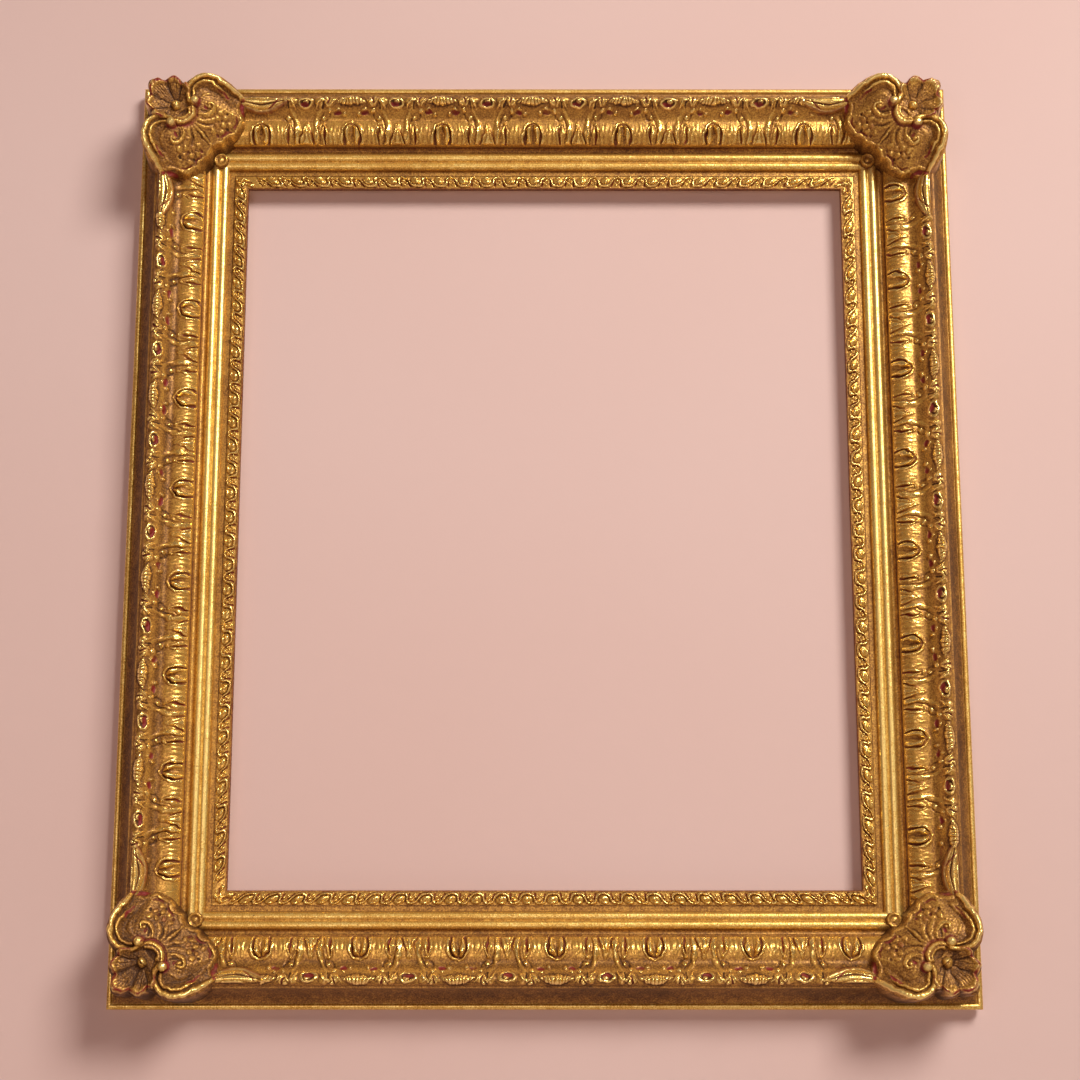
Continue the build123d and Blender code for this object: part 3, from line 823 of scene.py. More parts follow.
@dataclass(frozen=True)
class Timber:
    """Plain softwood of the frame's back.

    Attributes:
        name: Name of the material.
        stretch: Scale of the grain on each axis, small along the rail.
        pale: Colour between the rings.
        dark: Colour of the rings.
        ring_width: Width of a group of rings in millimetres.
        fibre_width: Width of the fibres in millimetres, drawn coarser than real ones.
    """

    name: str
    stretch: tuple[float, float, float]
    pale: str = "DCC296"
    dark: str = "B08A58"
    ring_width: float = 16.7
    fibre_width: float = 1.67

    def build(self) -> bpy.types.Material:
        """Makes the material."""
        g = Graph(self.name)
        along = g.node("ShaderNodeMapping", {"Vector": g.place(), "Scale": self.stretch}).outputs[0]
        rings = g.noise(along, self.ring_width, 4.0, 0.65)
        fibre = g.noise(along, self.fibre_width, 2.0, 0.6)
        both = g.math("ADD", g.math("MULTIPLY", rings, 0.7), g.math("MULTIPLY", fibre, 0.3))
        colour = g.ramp(both, ((0.38, self.dark), (0.62, self.pale)))
        return g.surface(Base_Color=colour, Roughness=0.75, Normal=g.bump(fibre, 0.2, 0.0004))


@dataclass(frozen=True)
class Metal:
    """Plated or plain metal of the hardware, with worn patches of a size in millimetres."""

    name: str
    base: str
    worn: str
    roughness: float
    metallic: float = 1.0
    patch_size: float = 3.33

    def build(self) -> bpy.types.Material:
        """Makes the material."""
        g = Graph(self.name)
        patch = g.noise(g.place(), self.patch_size, 3.0, 0.6)
        colour = g.mix(g.span(patch, 0.4, 0.7), linear(self.base), linear(self.worn))
        rough = g.span(patch, 0.3, 0.7, self.roughness - 0.06, self.roughness + 0.08)
        normal = g.bump(patch, 0.1, 0.0003)
        return g.surface(Base_Color=colour, Metallic=self.metallic, Roughness=rough, Normal=normal)


GOLD_STOPS = (
    (0.00, "FFE38C"),
    (0.22, "E2B456"),
    (0.45, "BC8A3E"),
    (0.68, "8C5E26"),
    (1.00, "4C2C0E"),
)


class Finishes:
    """Every material of the frame, made once."""

    def __init__(self) -> None:
        """Builds the materials."""
        self.moulding = Gilding(
            "gilded_moulding", GOLD_STOPS, rough_low=0.33, rough_high=0.52, grain=0.5, specks=1.0
        ).build()
        self.carving = Gilding(
            "gilded_carving", GOLD_STOPS, rough_low=0.2, grain=0.4, crest_highlight_gain=0.44, hollow_shade_gain=0.2
        ).build()
        self.ornament = Gilding(
            "gilded_ornament", GOLD_STOPS, metallic=0.8, rough_low=0.28, rough_high=0.62, crest_highlight_gain=0.36
        ).build()
        self.level_timber = Timber("bare_softwood_level", (0.05, 1.0, 1.0)).build()
        self.upright_timber = Timber("bare_softwood_upright", (1.0, 1.0, 0.05)).build()
        self.nails = Metal("nail_steel", "8C8C90", "6A6460", 0.35).build()
        self.rubber = Metal("bumper_rubber", "1C1C1C", "2A2928", 0.7, 0.0).build()
        self.hanger = Metal("hanger_plating", "B8A878", "8E7C50", 0.32).build()
        self.button = Metal("button_zinc", "A8A9AC", "84858A", 0.36).build()
        self.brass = Metal("screw_brass", "C29B4A", "8E6A2C", 0.34).build()


# Moulding


def moulding_profile() -> list[tuple[float, float, float, bool]]:
    """Section of a rail as points with toning and painted shade, and whether the wood is bare there: darker
    in the quirks, the cavetto, the hollow, the rebate and towards the back of the outer side, lighter on the
    crowns of the bead and the rolls as burnished gold and painted highlight.
    """
    s = SECTION
    wall = SIZE.rail - SIZE.lip
    outline: list[tuple[float, float, float, bool]] = []

    def straight(end: Point, steps: int, dirt: tuple[float, float], bare: bool = False) -> None:
        """Adds a straight piece from the last point."""
        start = outline[-1]
        first, last = (*start[:2], dirt[0]), (*end, dirt[1])
        for i in range(1, steps + 1):
            offset, height, tone = (a + (b - a) * i / steps for a, b in zip(first, last))
            outline.append((offset, height, tone, bare))

    def arc(middle: Point, end: Point, steps: int, dirt: tuple[float, ...]) -> None:
        """Adds an arc from the last point."""
        places = arc_points(outline[-1][:2], middle, end, steps)
        for i, (offset, height) in enumerate(places, 1):
            tone = float(np.interp(i / steps, np.linspace(0.0, 1.0, len(dirt)), dirt))
            outline.append((offset, height, tone, False))

    def roll(start: float, end: float, top: float, foot: float, dirt: tuple[float, ...]) -> None:
        """Adds a round roll between two offsets."""
        crown, last = (start + (end - start) * share for share in (s.crown_share, s.roll_end_share))
        arc((crown, top), (last, foot), 20, dirt)

    outline.append((0.0, 0.0, 0.8, True))
    straight((0.0, 0.8), 1, (0.8, 0.75))
    straight((0.0, s.edge_height), 5, (0.6, 0.3))
    arc((s.bead * s.crown_share, s.bead_height), (s.bead, s.quirk_height), 12, (0.25, 0.18, 0.16, 0.18, 0.3))
    straight((s.quirk, s.quirk_height), 2, (0.75, 0.8))
    straight((s.quirk, s.cavetto_foot), 2, (0.8, 0.6))
    middle = (
        s.quirk + (s.cavetto - s.quirk) * s.cavetto_share,
        s.cavetto_foot + (s.crest_height - s.cavetto_foot) * s.cavetto_rise_share,
    )
    # The cavetto is darkest in its middle: toning and painted shade.
    arc(middle, (s.cavetto, s.crest_height), 24, (0.66, 0.78, 0.84, 0.82, 0.78, 0.74, 0.66))
    straight((s.crest, s.crest_height), 3, (0.58, 0.7))
    straight((s.crest, s.ridge_seat), 1, (0.9, 0.9))
    straight((s.ridge, s.ridge_seat), 1, (0.9, 0.9))
    straight((s.ridge, s.leaf_seat_high), 1, (0.9, 0.9))
    straight((s.leaf, s.leaf_seat_low), 1, (0.9, 0.9))
    straight((s.leaf, s.leaf_quirk_height), 1, (0.95, 0.95))
    straight((s.leaf_quirk, s.leaf_quirk_height), 2, (0.6, 0.52))
    hollow = (s.leaf_quirk + s.hollow) / 2
    arc((hollow, s.hollow_height), (s.hollow, s.leaf_quirk_height), 9, (0.50, 0.46, 0.44, 0.46, 0.42))
    # Each roll is lightest at its crown: burnished gold and painted highlight.
    dirt = (0.30, 0.14, 0.04, 0.00, 0.02, 0.06, 0.18)
    roll(s.hollow, s.outer_roll, s.outer_roll_height, s.valley_height, dirt)
    straight((s.outer_roll, s.valley_height), 2, (0.24, 0.2))
    dirt = (0.14, 0.06, 0.02, 0.02, 0.06, 0.16, 0.30)
    roll(s.outer_roll, s.inner_roll, s.inner_roll_height, s.inner_roll_foot, dirt)
    straight((s.inner_roll, s.frieze_height), 2, (0.5, 0.5))
    straight((s.frieze, s.frieze_height), 4, (0.52, 0.54))
    straight((s.frieze, s.frieze_height - s.line_depth), 1, (0.55, 0.6))
    straight((s.line, s.frieze_height - s.line_depth), 1, (0.6, 0.6))
    straight((s.line, s.frieze_height), 1, (0.55, 0.5))
    straight((s.sight_seat, s.frieze_height), 1, (0.8, 0.8))
    straight((s.sight_seat, s.sight_height), 2, (0.6, 0.5))
    edge = SIZE.rail - s.sight_round
    straight((edge, s.sight_height), 3, (0.5, 0.55))
    straight((SIZE.rail, s.sight_height - s.sight_round), 2, (0.6, 0.75))
    straight((SIZE.rail, s.rebate), 3, (0.85, 0.9))
    straight((wall, s.rebate), 1, (0.9, 0.9), True)
    straight((wall, 0.0), 1, (0.9, 0.9), True)
    straight((0.0, 0.0), 3, (0.8, 0.8), True)
    return outline


@dataclass
class Rail:
    """One mitred rail of the moulding."""

    side: Side
    finishes: Finishes
    spacing: float = 2.6
    unevenness: float = 0.10
    grime: float = 0.05
    level_roll_shade: float = 0.16

    def build(self) -> bpy.types.Object:
        """Builds the rail.

        Returns:
            The rail's object, in place of its CAD node.
        """
        s = SECTION
        offset, height, dirt, bare = (np.array(column) for column in zip(*moulding_profile()))
        length = SIZE.length(self.side)
        rows = int(length / self.spacing) | 1
        share = np.linspace(-1.0, 1.0, rows)[:, None]
        along = share * (length / 2 - offset)
        seed = self.side.value + 3
        rolls = (offset > s.leaf_quirk) & (offset < s.frieze) & (height > s.frieze_height)
        sway = waves(along, seed, (190.0, 83.0, 47.0, 21.0)) * self.unevenness * rolls
        grime = waves(along + offset * 2.0, seed + 1, (260.0, 110.0, 61.0, 33.0, 17.0)) * self.grime
        points = rail_points(self.side, along, offset, height + sway)
        # Painted shade: the rolls of the top and bottom rails are darker than those of the upright rails.
        roll_shade = 0.0 if self.side.is_upright else self.level_roll_shade * rolls
        red = np.where((offset > s.sight_seat) & (height > s.rebate), 0.35, 0.0)
        red = np.where((offset >= s.leaf) & (offset <= s.leaf_quirk), 0.25, red)
        values = {
            "dirt": np.clip(dirt + grime + roll_shade, 0.0, 1.0),
            "red": np.broadcast_to(red, along.shape),
            "tone": np.zeros_like(along),
        }
        slots = np.append(bare[1:], True).astype(int)
        node = f"rail_{self.side.label}"
        timber = self.finishes.upright_timber if self.side.is_upright else self.finishes.level_timber
        obj = tube(f"{node}_gilded", Surface(points, values, slots), 40.0)
        return dressed(obj, node, "gilded_wood", self.finishes.moulding, timber)


# Carved strips of the ridge and the leaves

MOTIF_PITCH = 90.0
STRIP_TONING = 0.36
EYE_PLACES = {Side.BOTTOM: -34.4, Side.RIGHT: 19.0, Side.TOP: -33.4, Side.LEFT: 11.0}
# Painted shade in the cove of each rail, deepest on the left and bottom rails.
COVE_SHADES = {Side.BOTTOM: 0.30, Side.RIGHT: 0.18, Side.TOP: 0.08, Side.LEFT: 0.34}
BAND_HEIGHTS = (
    (21.5, 40.9), (23.5, 43.6), (26.5, 44.9), (30.0, 43.8), (33.5, 40.6), (37.0, 36.2), (40.5, 32.9),
    (44.0, 31.3), (49.0, 31.6), (54.0, 31.4), (58.5, 29.9), (62.5, 27.2), (66.0, 23.4),
)

EYE_FORMS: tuple[Form, ...] = (
    # The eye: lids round a red hollow with a bead in it
    Dome((0.0, 29.4), (8.6, 5.2), 1.6, mirrored=False),
    Dome((0.2, 29.8), (6.2, 3.4), -2.7, dark=0.45, mirrored=False),
    Dome((1.0, 31.0), (5.0, 2.2), -0.4, red=1.25, mirrored=False),
    Dome((-0.8, 28.9), (3.2, 2.2), 2.8, dark=-0.3, mirrored=False),
    Stroke(
        ((-8.6, 28.4), (-4.4, 25.9), (0.4, 25.1), (4.6, 26.3)), (0.5, 0.9, 0.4), (0.3, 0.8, 0.2),
        mirrored=False,
    ),
    Stroke(
        ((-6.0, 33.2), (-1.0, 34.2), (5.0, 33.0), (8.8, 30.2)), (0.4, 0.8, 0.5), (0.1, 0.6, 0.3),
        mirrored=False,
    ),
    # Leaf tips between the eye and the bud
    Dome((14.4, 28.2), (5.0, 5.6), 1.3),
    Dome((23.6, 28.4), (5.6, 5.2), 1.3),
    Stroke(((10.6, 34.4), (12.6, 30.6), (15.0, 26.6)), (0.6, 1.1, 0.7), (0.5, 1.9, 0.8)),
    Stroke(((14.2, 25.2), (16.2, 27.8), (18.4, 25.2)), (0.7, 1.1, 0.7), (0.6, 1.5, 0.6)),
    Stroke(((18.2, 25.4), (20.2, 29.0), (21.6, 32.0)), (0.7, 1.1, 0.6), (0.8, 1.8, 0.6)),
    Stroke(((24.4, 31.6), (27.2, 28.8), (30.0, 25.6)), (0.6, 1.1, 0.6), (0.5, 1.8, 0.6)),
    Stroke(((16.6, 33.4), (17.0, 29.0)), (0.8, 0.8), (-0.8, -0.8), dark=0.4),
    Stroke(((22.6, 29.6), (24.0, 24.4)), (0.8, 1.0), (-0.7, -1.4), red=0.5, dark=0.4),
    Dome((20.6, 23.9), (1.8, 1.6), 1.4),
    # Beads and berries in the cove
    Dome((17.6, 41.4), (2.5, 2.0), 1.8, turn=30.0),
    Dome((23.4, 35.8), (2.2, 2.0), 1.8, turn=-30.0),
    Dome((31.2, 36.8), (4.0, 1.8), -1.2, red=1.25, dark=0.2),
    Dome((31.6, 34.9), (2.0, 1.8), 2.2),
    Dome((37.6, 37.6), (2.2, 1.6), 1.3, red=0.3),
    Stroke(((19.8, 43.6), (22.0, 41.4), (23.0, 38.4)), (0.9, 1.1), (-0.5, -0.8), dark=0.3),
    # Long curved leaf on each side of the fan
    Stroke(
        ((9.6, 65.0), (9.0, 57.0), (9.0, 49.0), (11.0, 41.0), (15.4, 34.4)), (2.4, 2.8, 2.4, 1.4),
        (1.2, 1.5, 1.1, 0.5),
    ),
    Stroke(
        ((12.6, 65.0), (12.2, 57.0), (12.2, 49.6), (14.2, 42.6), (18.2, 36.6)), (0.6, 0.8, 0.6),
        (-0.5, -0.9, -0.4), dark=0.35,
    ),
    Stroke(((10.2, 64.6), (10.4, 58.0), (9.6, 50.0)), (0.5, 0.9, 0.5), (0.5, 1.2, 0.4)),
    # Fan of flutes over the eye
    Stroke(
        ((0.0, 45.6), (0.0, 54.0), (0.0, 65.0)), (1.0, 2.6, 4.6), (0.3, 1.5, 2.0), dark=-0.4,
        mirrored=False,
    ),
    Stroke(((0.8, 46.4), (3.0, 54.6), (5.6, 64.6)), (0.6, 1.2, 1.3), (0.4, 1.7, 1.5)),
    Stroke(
        ((1.4, 49.0), (4.4, 57.0), (7.6, 64.4)), (0.6, 1.1, 1.2), (-0.5, -1.4, -1.2), red=0.35,
        dark=0.15,
    ),
    Stroke(((0.4, 50.6), (2.6, 63.6)), (0.4, 0.7), (-0.5, -1.0)),
    # Side leaf in a dark rim
    Dome((17.4, 55.6), (4.6, 10.0), -1.1, dark=0.3),
    Stroke(((16.2, 64.2), (15.6, 57.4), (16.6, 49.6)), (1.3, 2.2, 1.1), (1.0, 1.9, 0.9)),
    Stroke(((19.2, 64.4), (20.4, 58.0), (19.8, 52.0), (17.8, 47.4)), (0.8, 1.2, 0.8), (1.0, 2.1, 1.0)),
    Stroke(
        ((17.4, 65.0), (18.0, 58.6), (17.8, 52.0)), (0.8, 0.9, 0.5), (-0.8, -1.2, -0.5), red=0.8,
        dark=0.3,
    ),
    Dome((17.4, 47.2), (2.0, 1.7), 1.8),
    # Low broad flutes between the side leaf and the tongue
    Stroke(((24.2, 64.6), (23.8, 57.0), (25.4, 49.4)), (1.5, 2.0, 1.0), (0.5, 0.7, 0.2)),
    Stroke(((28.6, 64.8), (28.0, 57.0), (28.4, 46.4)), (1.8, 2.2, 1.2), (0.5, 0.6, 0.1)),
    Stroke(((32.8, 64.8), (32.4, 58.4), (31.2, 51.4)), (1.2, 1.5, 0.8), (0.4, 0.6, 0.1)),
)

BUD_FORMS: tuple[Form, ...] = (
    # Spindle bud on the ridge, fluted across
    Stroke(
        ((-14.8, 29.0), (-8.0, 27.6), (0.0, 27.2), (8.0, 27.6), (14.8, 29.0)),
        (0.6, 3.6, 5.2, 3.6, 0.6), (0.4, 2.9, 4.4, 2.9, 0.4), dark=-0.5, mirrored=False,
    ),
    Stroke(((1.5, 22.4), (1.9, 27.4), (2.6, 32.4)), (0.5, 0.8, 0.5), (-0.7, -1.5, -0.6)),
    Stroke(((4.2, 22.8), (5.0, 27.4), (6.4, 31.8)), (0.5, 0.8, 0.5), (-0.7, -1.5, -0.6)),
    Stroke(((7.0, 23.4), (8.2, 27.4), (9.8, 31.0)), (0.5, 0.8, 0.5), (-0.6, -1.3, -0.5)),
    Stroke(((10.0, 24.8), (11.4, 27.8), (12.6, 30.2)), (0.4, 0.7, 0.4), (-0.4, -1.0, -0.4), red=0.3),
    Dome((7.6, 38.6), (2.1, 1.7), 1.3),
    # Tongue with a soft rim, a dark red oval and two bright lobes
    Stroke(
        ((0.0, 44.4), (5.6, 47.2), (9.2, 53.0), (10.2, 59.4), (9.6, 65.2)), (1.0, 1.4, 1.4),
        (0.6, 1.4, 1.3),
    ),
    Stroke(
        ((1.0, 47.0), (5.0, 49.8), (7.4, 55.0), (7.9, 61.0), (6.8, 65.0)), (0.9, 1.3, 1.2),
        (-0.8, -1.7, -1.4), red=0.4, dark=0.4,
    ),
    Stroke(
        ((1.9, 48.8), (4.0, 52.6), (4.9, 58.4), (4.4, 64.2)), (1.5, 2.7, 2.4, 1.5),
        (1.8, 4.6, 3.4, 1.6), dark=-0.9,
    ),
    Stroke(
        ((0.0, 48.0), (0.0, 56.0), (0.0, 65.0)), (0.8, 1.1, 0.9), (-0.6, -0.8, -0.5), dark=0.2,
        mirrored=False,
    ),
)

SPRAY_FORMS: tuple[Form, ...] = (
    # Broad leaf that runs from the cartouche along the ridge; u is counted from its root
    Stroke(
        ((-2.0, 29.0), (10.0, 31.2), (22.0, 31.0), (34.0, 28.6), (43.0, 26.6)),
        (5.0, 7.0, 6.4, 4.2, 1.2), (2.4, 3.2, 2.8, 1.8, 0.6), mirrored=False,
    ),
    Stroke(
        ((-2.0, 33.4), (10.0, 36.8), (22.0, 36.6), (34.0, 32.4), (42.0, 28.4)), (1.0, 1.3, 0.8),
        (0.8, 1.6, 0.6), red=0.7, mirrored=False,
    ),
    Stroke(
        ((0.0, 29.6), (14.0, 32.0), (27.0, 30.2), (38.0, 27.6)), (0.7, 1.0, 0.6), (-0.6, -1.3, -0.6),
        dark=0.3, mirrored=False,
    ),
    Stroke(((4.0, 25.0), (16.0, 25.4), (27.0, 24.2)), (0.8, 1.2, 0.6), (0.8, 1.4, 0.6), mirrored=False),
    Stroke(
        ((22.0, 35.4), (28.0, 31.2), (33.0, 26.0)), (0.6, 0.9, 0.6), (-0.5, -1.0, -0.6), red=0.8,
        mirrored=False,
    ),
)


@dataclass
class CarvedBand:
    """Carved strips of one rail: the ridge's and the leaves', which share one surface."""

    side: Side
    finishes: Finishes
    spacing: float = 0.6
    cartouche_cover: float = 82.0
    motif_clear: float = 96.0
    spray_root: float = 107.0
    spray_clear: float = 38.0
    sway: float = 0.9
    depth: float = 1.15
    depth_swing: float = 0.22
    edge_gap: float = 0.05
    edge_share: float = 0.25
    unevenness: float = 0.12
    flute: float = 0.15
    flute_lean: float = 0.08
    flute_middle: float = 50.0
    ridge_toning: float = 0.12
    cove_dark_gain: float = 0.34
    ridge_dark_gain: float = 0.4
    cove_tone_gain: float = 0.9
    ridge_tone_gain: float = 1.5
    tone_limit: float = 2.2

    def relief(self, along: Array, offset: Array) -> Relief:
        """Carves every motif of the band."""
        seed = 100 + self.side.value
        relief = Relief(*swayed(along, offset, seed, self.sway), slack=4.0)
        half = SIZE.length(self.side) / 2
        first = EYE_PLACES[self.side]
        for forms, start in ((EYE_FORMS, first), (BUD_FORMS, first + MOTIF_PITCH / 2)):
            for place in pitched(start, MOTIF_PITCH, half - self.motif_clear):
                relief.carve(forms, (place, 0.0), mirrored_along)
        relief.rise *= 1.0 + self.depth_swing * waves(along + 0.3 * offset, seed + 2, (67.0, 29.0, 17.0))
        end = half - self.spray_root
        clear = end - self.spray_clear
        near_end = smoothstep(clear - 4.0, clear + 2.0, np.abs(along))
        ridge_part = 1.0 - smoothstep(36.0, 42.0, offset)
        relief.fade(1.0 - near_end * ridge_part)
        for flip in (slice(None, None, -1), slice(None)):
            spray = Relief(end + along, offset)
            spray.carve(SPRAY_FORMS, (0.0, 0.0), mirrored_along)
            relief.rise += spray.rise[flip]
            relief.redden(spray.red[flip])
            relief.darken(spray.dark[flip])
        return relief

    def flutes(self, along: Array, offset: Array) -> Array:
        """Fine flutes of the carver's tool on the leaf strip."""
        lean = self.flute_lean * (offset - self.flute_middle) * np.sin(along / 7.0)
        brushed = 0.5 + 0.5 * waves(along + lean, 5, (1.9, 2.7, 4.3))
        return self.flute * brushed * smoothstep(40.0, 52.0, offset)

    def values(self, relief: Relief, rise: Array, offset: Array) -> dict[str, Array]:
        """What the gilding reads: more toning and painted shade in the cove, and on the ridge stronger
        painted highlight on crests and painted shade in hollows.
        """
        cove = smoothstep(34.0, 39.0, offset) * (1.0 - smoothstep(43.0, 50.0, offset))
        ridge_side = 1.0 - smoothstep(31.0, 36.0, offset)
        # Base toning, painted shade in the cove that differs from rail to rail, and the forms' toning and
        # painted shade in their grooves.
        toned = STRIP_TONING + COVE_SHADES[self.side] * cove + self.ridge_toning * ridge_side
        toned = toned + relief.dark * (self.cove_dark_gain + self.ridge_dark_gain * ridge_side)
        # The tone lightens crests and darkens hollows in the gilding: painted highlight and painted shade,
        # stronger on the ridge.
        tone = tone_of(rise, 2, 8) * (self.cove_tone_gain + self.ridge_tone_gain * ridge_side)
        return {
            "dirt": np.clip(toned, 0.0, 1.0),
            "red": relief.red,
            "tone": np.clip(tone, -self.tone_limit, self.tone_limit),
        }

    def build(self) -> list[bpy.types.Object]:
        """Builds both strips.

        Returns:
            The ridge strip and the leaf strip.
        """
        s = SECTION
        half = SIZE.length(self.side) / 2 - self.cartouche_cover
        rows = int(2 * half / self.spacing) | 1
        ridge_cols = int((s.ridge - s.crest) / (self.spacing * 0.8))
        leaf_cols = int((s.leaf - s.ridge) / self.spacing)
        ridge_offsets = np.linspace(s.crest + self.edge_gap, s.ridge, ridge_cols)
        leaf_offsets = np.linspace(s.ridge, s.leaf - self.edge_gap, leaf_cols)
        offsets = np.concatenate((ridge_offsets, leaf_offsets[1:]))
        along, offset = np.meshgrid(np.linspace(-half, half, rows), offsets, indexing="ij")
        relief = self.relief(along, offset)
        outer_edge = smoothstep(s.crest, s.crest + 1.6, offset)
        inner_edge = 1.0 - smoothstep(s.leaf - 1.4, s.leaf, offset)
        edge = self.edge_share + (1.0 - self.edge_share) * outer_edge * inner_edge
        rise = (relief.rise + self.flutes(along, offset)) * edge
        values = self.values(relief, rise, offset)
        knots = curve_points(BAND_HEIGHTS, 6)
        uneven = waves(along * 1.3 + offset, self.side.value + 7, (71.0, 37.0, 19.0))
        height = np.interp(offset, knots[:, 0], knots[:, 1]) + self.unevenness * uneven
        height = height + self.depth * rise
        made = []
        for label, cols, far, near in (
            ("ridge", slice(0, ridge_cols), s.ridge_seat, s.ridge_seat),
            ("leaf", slice(ridge_cols - 1, None), s.leaf_seat_low, s.leaf_seat_high),
        ):
            rings = (ringed(along[:, cols]), ringed(offset[:, cols]), ringed(height[:, cols], far, near))
            ring_values = {key: ringed(grid[:, cols]) for key, grid in values.items()}
            name = f"{label}_carving_{self.side.label}"
            obj = tube(f"{name}_gilded", Surface(rail_points(self.side, *rings), ring_values), 75.0)
            made.append(dressed(obj, name, "gilded_carving", self.finishes.carving))
        return made


# Sight edge

SIGHT_PITCH = 23.6

SIGHT_PHASES = {Side.BOTTOM: 7.5, Side.RIGHT: -2.5, Side.TOP: 10.0, Side.LEFT: -9.5}

DISC_FORMS: tuple[Form, ...] = (
    # Disc under an arch; the arch's feet run on into the hanging loops beside it
    Dome((0.0, 100.8), (6.6, 5.4), 1.5, mirrored=False),
    Stroke(
        ((0.0, 105.3), (4.2, 104.6), (6.6, 102.2), (7.2, 99.4), (8.6, 97.0), (11.8, 95.9)),
        (0.9, 1.2, 1.2, 1.1), (1.4, 1.9, 1.9, 1.5),
    ),
    Stroke(
        ((0.0, 103.6), (3.6, 102.8), (5.2, 100.4), (5.2, 97.6)), (0.7, 0.9, 0.7), (-0.6, -1.0, -0.7),
        dark=0.35,
    ),
    Dome((-0.6, 100.6), (2.4, 2.0), 0.9, mirrored=False),
    Dome((0.0, 96.4), (3.4, 1.0), 1.2, mirrored=False),
)

CURL_FORMS: tuple[Form, ...] = (
    # Small flower in the loop
    Dome((0.0, 99.2), (1.5, 1.4), 1.7, mirrored=False),
    Dome((2.4, 101.6), (1.4, 1.2), 1.4),
    Dome((0.0, 103.4), (1.3, 1.3), 1.2, mirrored=False),
    Stroke(((3.4, 99.0), (4.4, 104.6)), (0.8, 0.9), (-0.7, -0.9), red=0.6, dark=0.4),
)


SIGHT_CORNER_FORMS: tuple[Form, ...] = (
    # Leaf on the mitre
    Dome((0.0, 100.8), (3.4, 3.2), 2.0, mirrored=False),
    Dome((0.0, 100.8), (1.4, 1.3), -1.2, dark=0.3, mirrored=False),
    Stroke(((2.4, 98.6), (5.2, 97.4), (8.0, 98.6)), (1.0, 1.5, 0.9), (0.9, 1.7, 0.8)),
    Stroke(((2.6, 102.8), (5.6, 104.4), (8.8, 103.4)), (1.0, 1.5, 0.9), (0.9, 1.7, 0.8)),
    Stroke(((3.6, 100.8), (8.6, 101.0)), (0.9, 0.9), (-0.8, -0.8), red=0.5, dark=0.3),
)


@dataclass
class SightStrip:
    """Carved discs and curls of one side of the sight edge."""

    side: Side
    finishes: Finishes
    spacing: float = 0.5
    edge_gap: float = 0.3
    end_clear: float = 2.0
    mitre_leaf: float = 100.8
    sway: float = 0.45
    bed: float = 1.4
    swell: float = 0.5
    depth: float = 1.25
    dark_gain: float = 0.5
    depth_swing: float = 0.2
    tone_limit: float = 2.0

    def build(self) -> bpy.types.Object:
        """Builds the strip.

        Returns:
            The strip's object.
        """
        s = SECTION
        low, high = s.line + self.edge_gap, s.sight_seat - self.edge_gap
        half = SIZE.length(self.side) / 2
        rows = int(2 * (half - low) / self.spacing) | 1
        cols = int((high - low) / self.spacing)
        shares, offsets = np.linspace(-1.0, 1.0, rows), np.linspace(low, high, cols)
        share, offset = np.meshgrid(shares, offsets, indexing="ij")
        along = share * (half - offset)
        plain = share * (half - (low + high) / 2)
        seed = 300 + self.side.value
        relief = Relief(*swayed(plain, offset, seed, self.sway), slack=2.0)
        reach = half - SIZE.rail - self.end_clear
        first = SIGHT_PHASES[self.side]
        for forms, start in ((DISC_FORMS, first), (CURL_FORMS, first + SIGHT_PITCH / 2)):
            for place in pitched(start, SIGHT_PITCH, reach):
                relief.carve(forms, (place, 0.0), mirrored_along)
        for way in (-1.0, 1.0):
            relief.carve(SIGHT_CORNER_FORMS, (way * (half - self.mitre_leaf), 0.0), mirrored_along)
        relief.rise *= 1.0 + self.depth_swing * waves(plain, seed + 2, (53.0, 27.0, 11.0))
        bed = s.frieze_height + self.bed + self.swell * np.sin((offset - low) / (high - low) * math.pi)
        height = ringed(bed + self.depth * relief.rise, s.frieze_height, s.frieze_height)
        points = rail_points(self.side, ringed(along), ringed(offset), height)
        # Toning with painted shade in the forms' grooves, and a tone that lightens crests and darkens
        # hollows: painted highlight and painted shade.
        values = {
            "dirt": ringed(np.clip(STRIP_TONING + relief.dark * self.dark_gain, 0.0, 1.0)),
            "red": ringed(relief.red),
            "tone": ringed(np.clip(tone_of(relief.rise, 2, 7), -self.tone_limit, self.tone_limit)),
        }
        name = f"sight_carving_{self.side.label}"
        obj = tube(f"{name}_gilded", Surface(points, values), 75.0)
        return dressed(obj, name, "gilded_carving", self.finishes.carving)


# Corner cartouche

CARTOUCHE_HALF = (
    (14.8, 14.8), (18.0, 13.4), (22.0, 13.2), (25.6, 15.0), (29.0, 15.4), (32.8, 12.6), (37.6, 11.0),
    (42.2, 12.4), (46.4, 16.0), (50.4, 17.0), (54.6, 13.6), (60.0, 10.0), (66.4, 8.4), (73.6, 8.4),
    (82.0, 9.6), (90.0, 12.6), (98.0, 17.4), (104.6, 23.4), (108.6, 29.4), (107.0, 36.4), (104.2, 42.6),
    (105.4, 49.6), (102.6, 56.2), (98.8, 61.0), (93.6, 64.4), (88.0, 67.6), (84.6, 72.0), (79.6, 73.6),
    (76.0, 76.0),
)

SCROLL_PATH = (
    (61.2, 39.2, 71.0), (57.0, 38.6, 71.5), (54.4, 34.0, 71.2), (54.2, 27.6, 71.6), (57.0, 20.6, 72.6),
    (62.6, 15.4, 73.6), (70.6, 12.8, 74.0), (80.0, 14.2, 72.2), (88.8, 18.0, 67.4), (97.0, 23.0, 60.0),
    (105.0, 28.0, 50.5),
)
INNER_RIDGE_PATH = (
    (59.2, 33.0, 69.4), (59.6, 27.0, 69.8), (62.8, 21.8, 70.8), (69.4, 18.6, 71.4), (76.6, 19.2, 69.6),
    (82.4, 22.0, 66.4), (86.6, 25.0, 62.6),
)

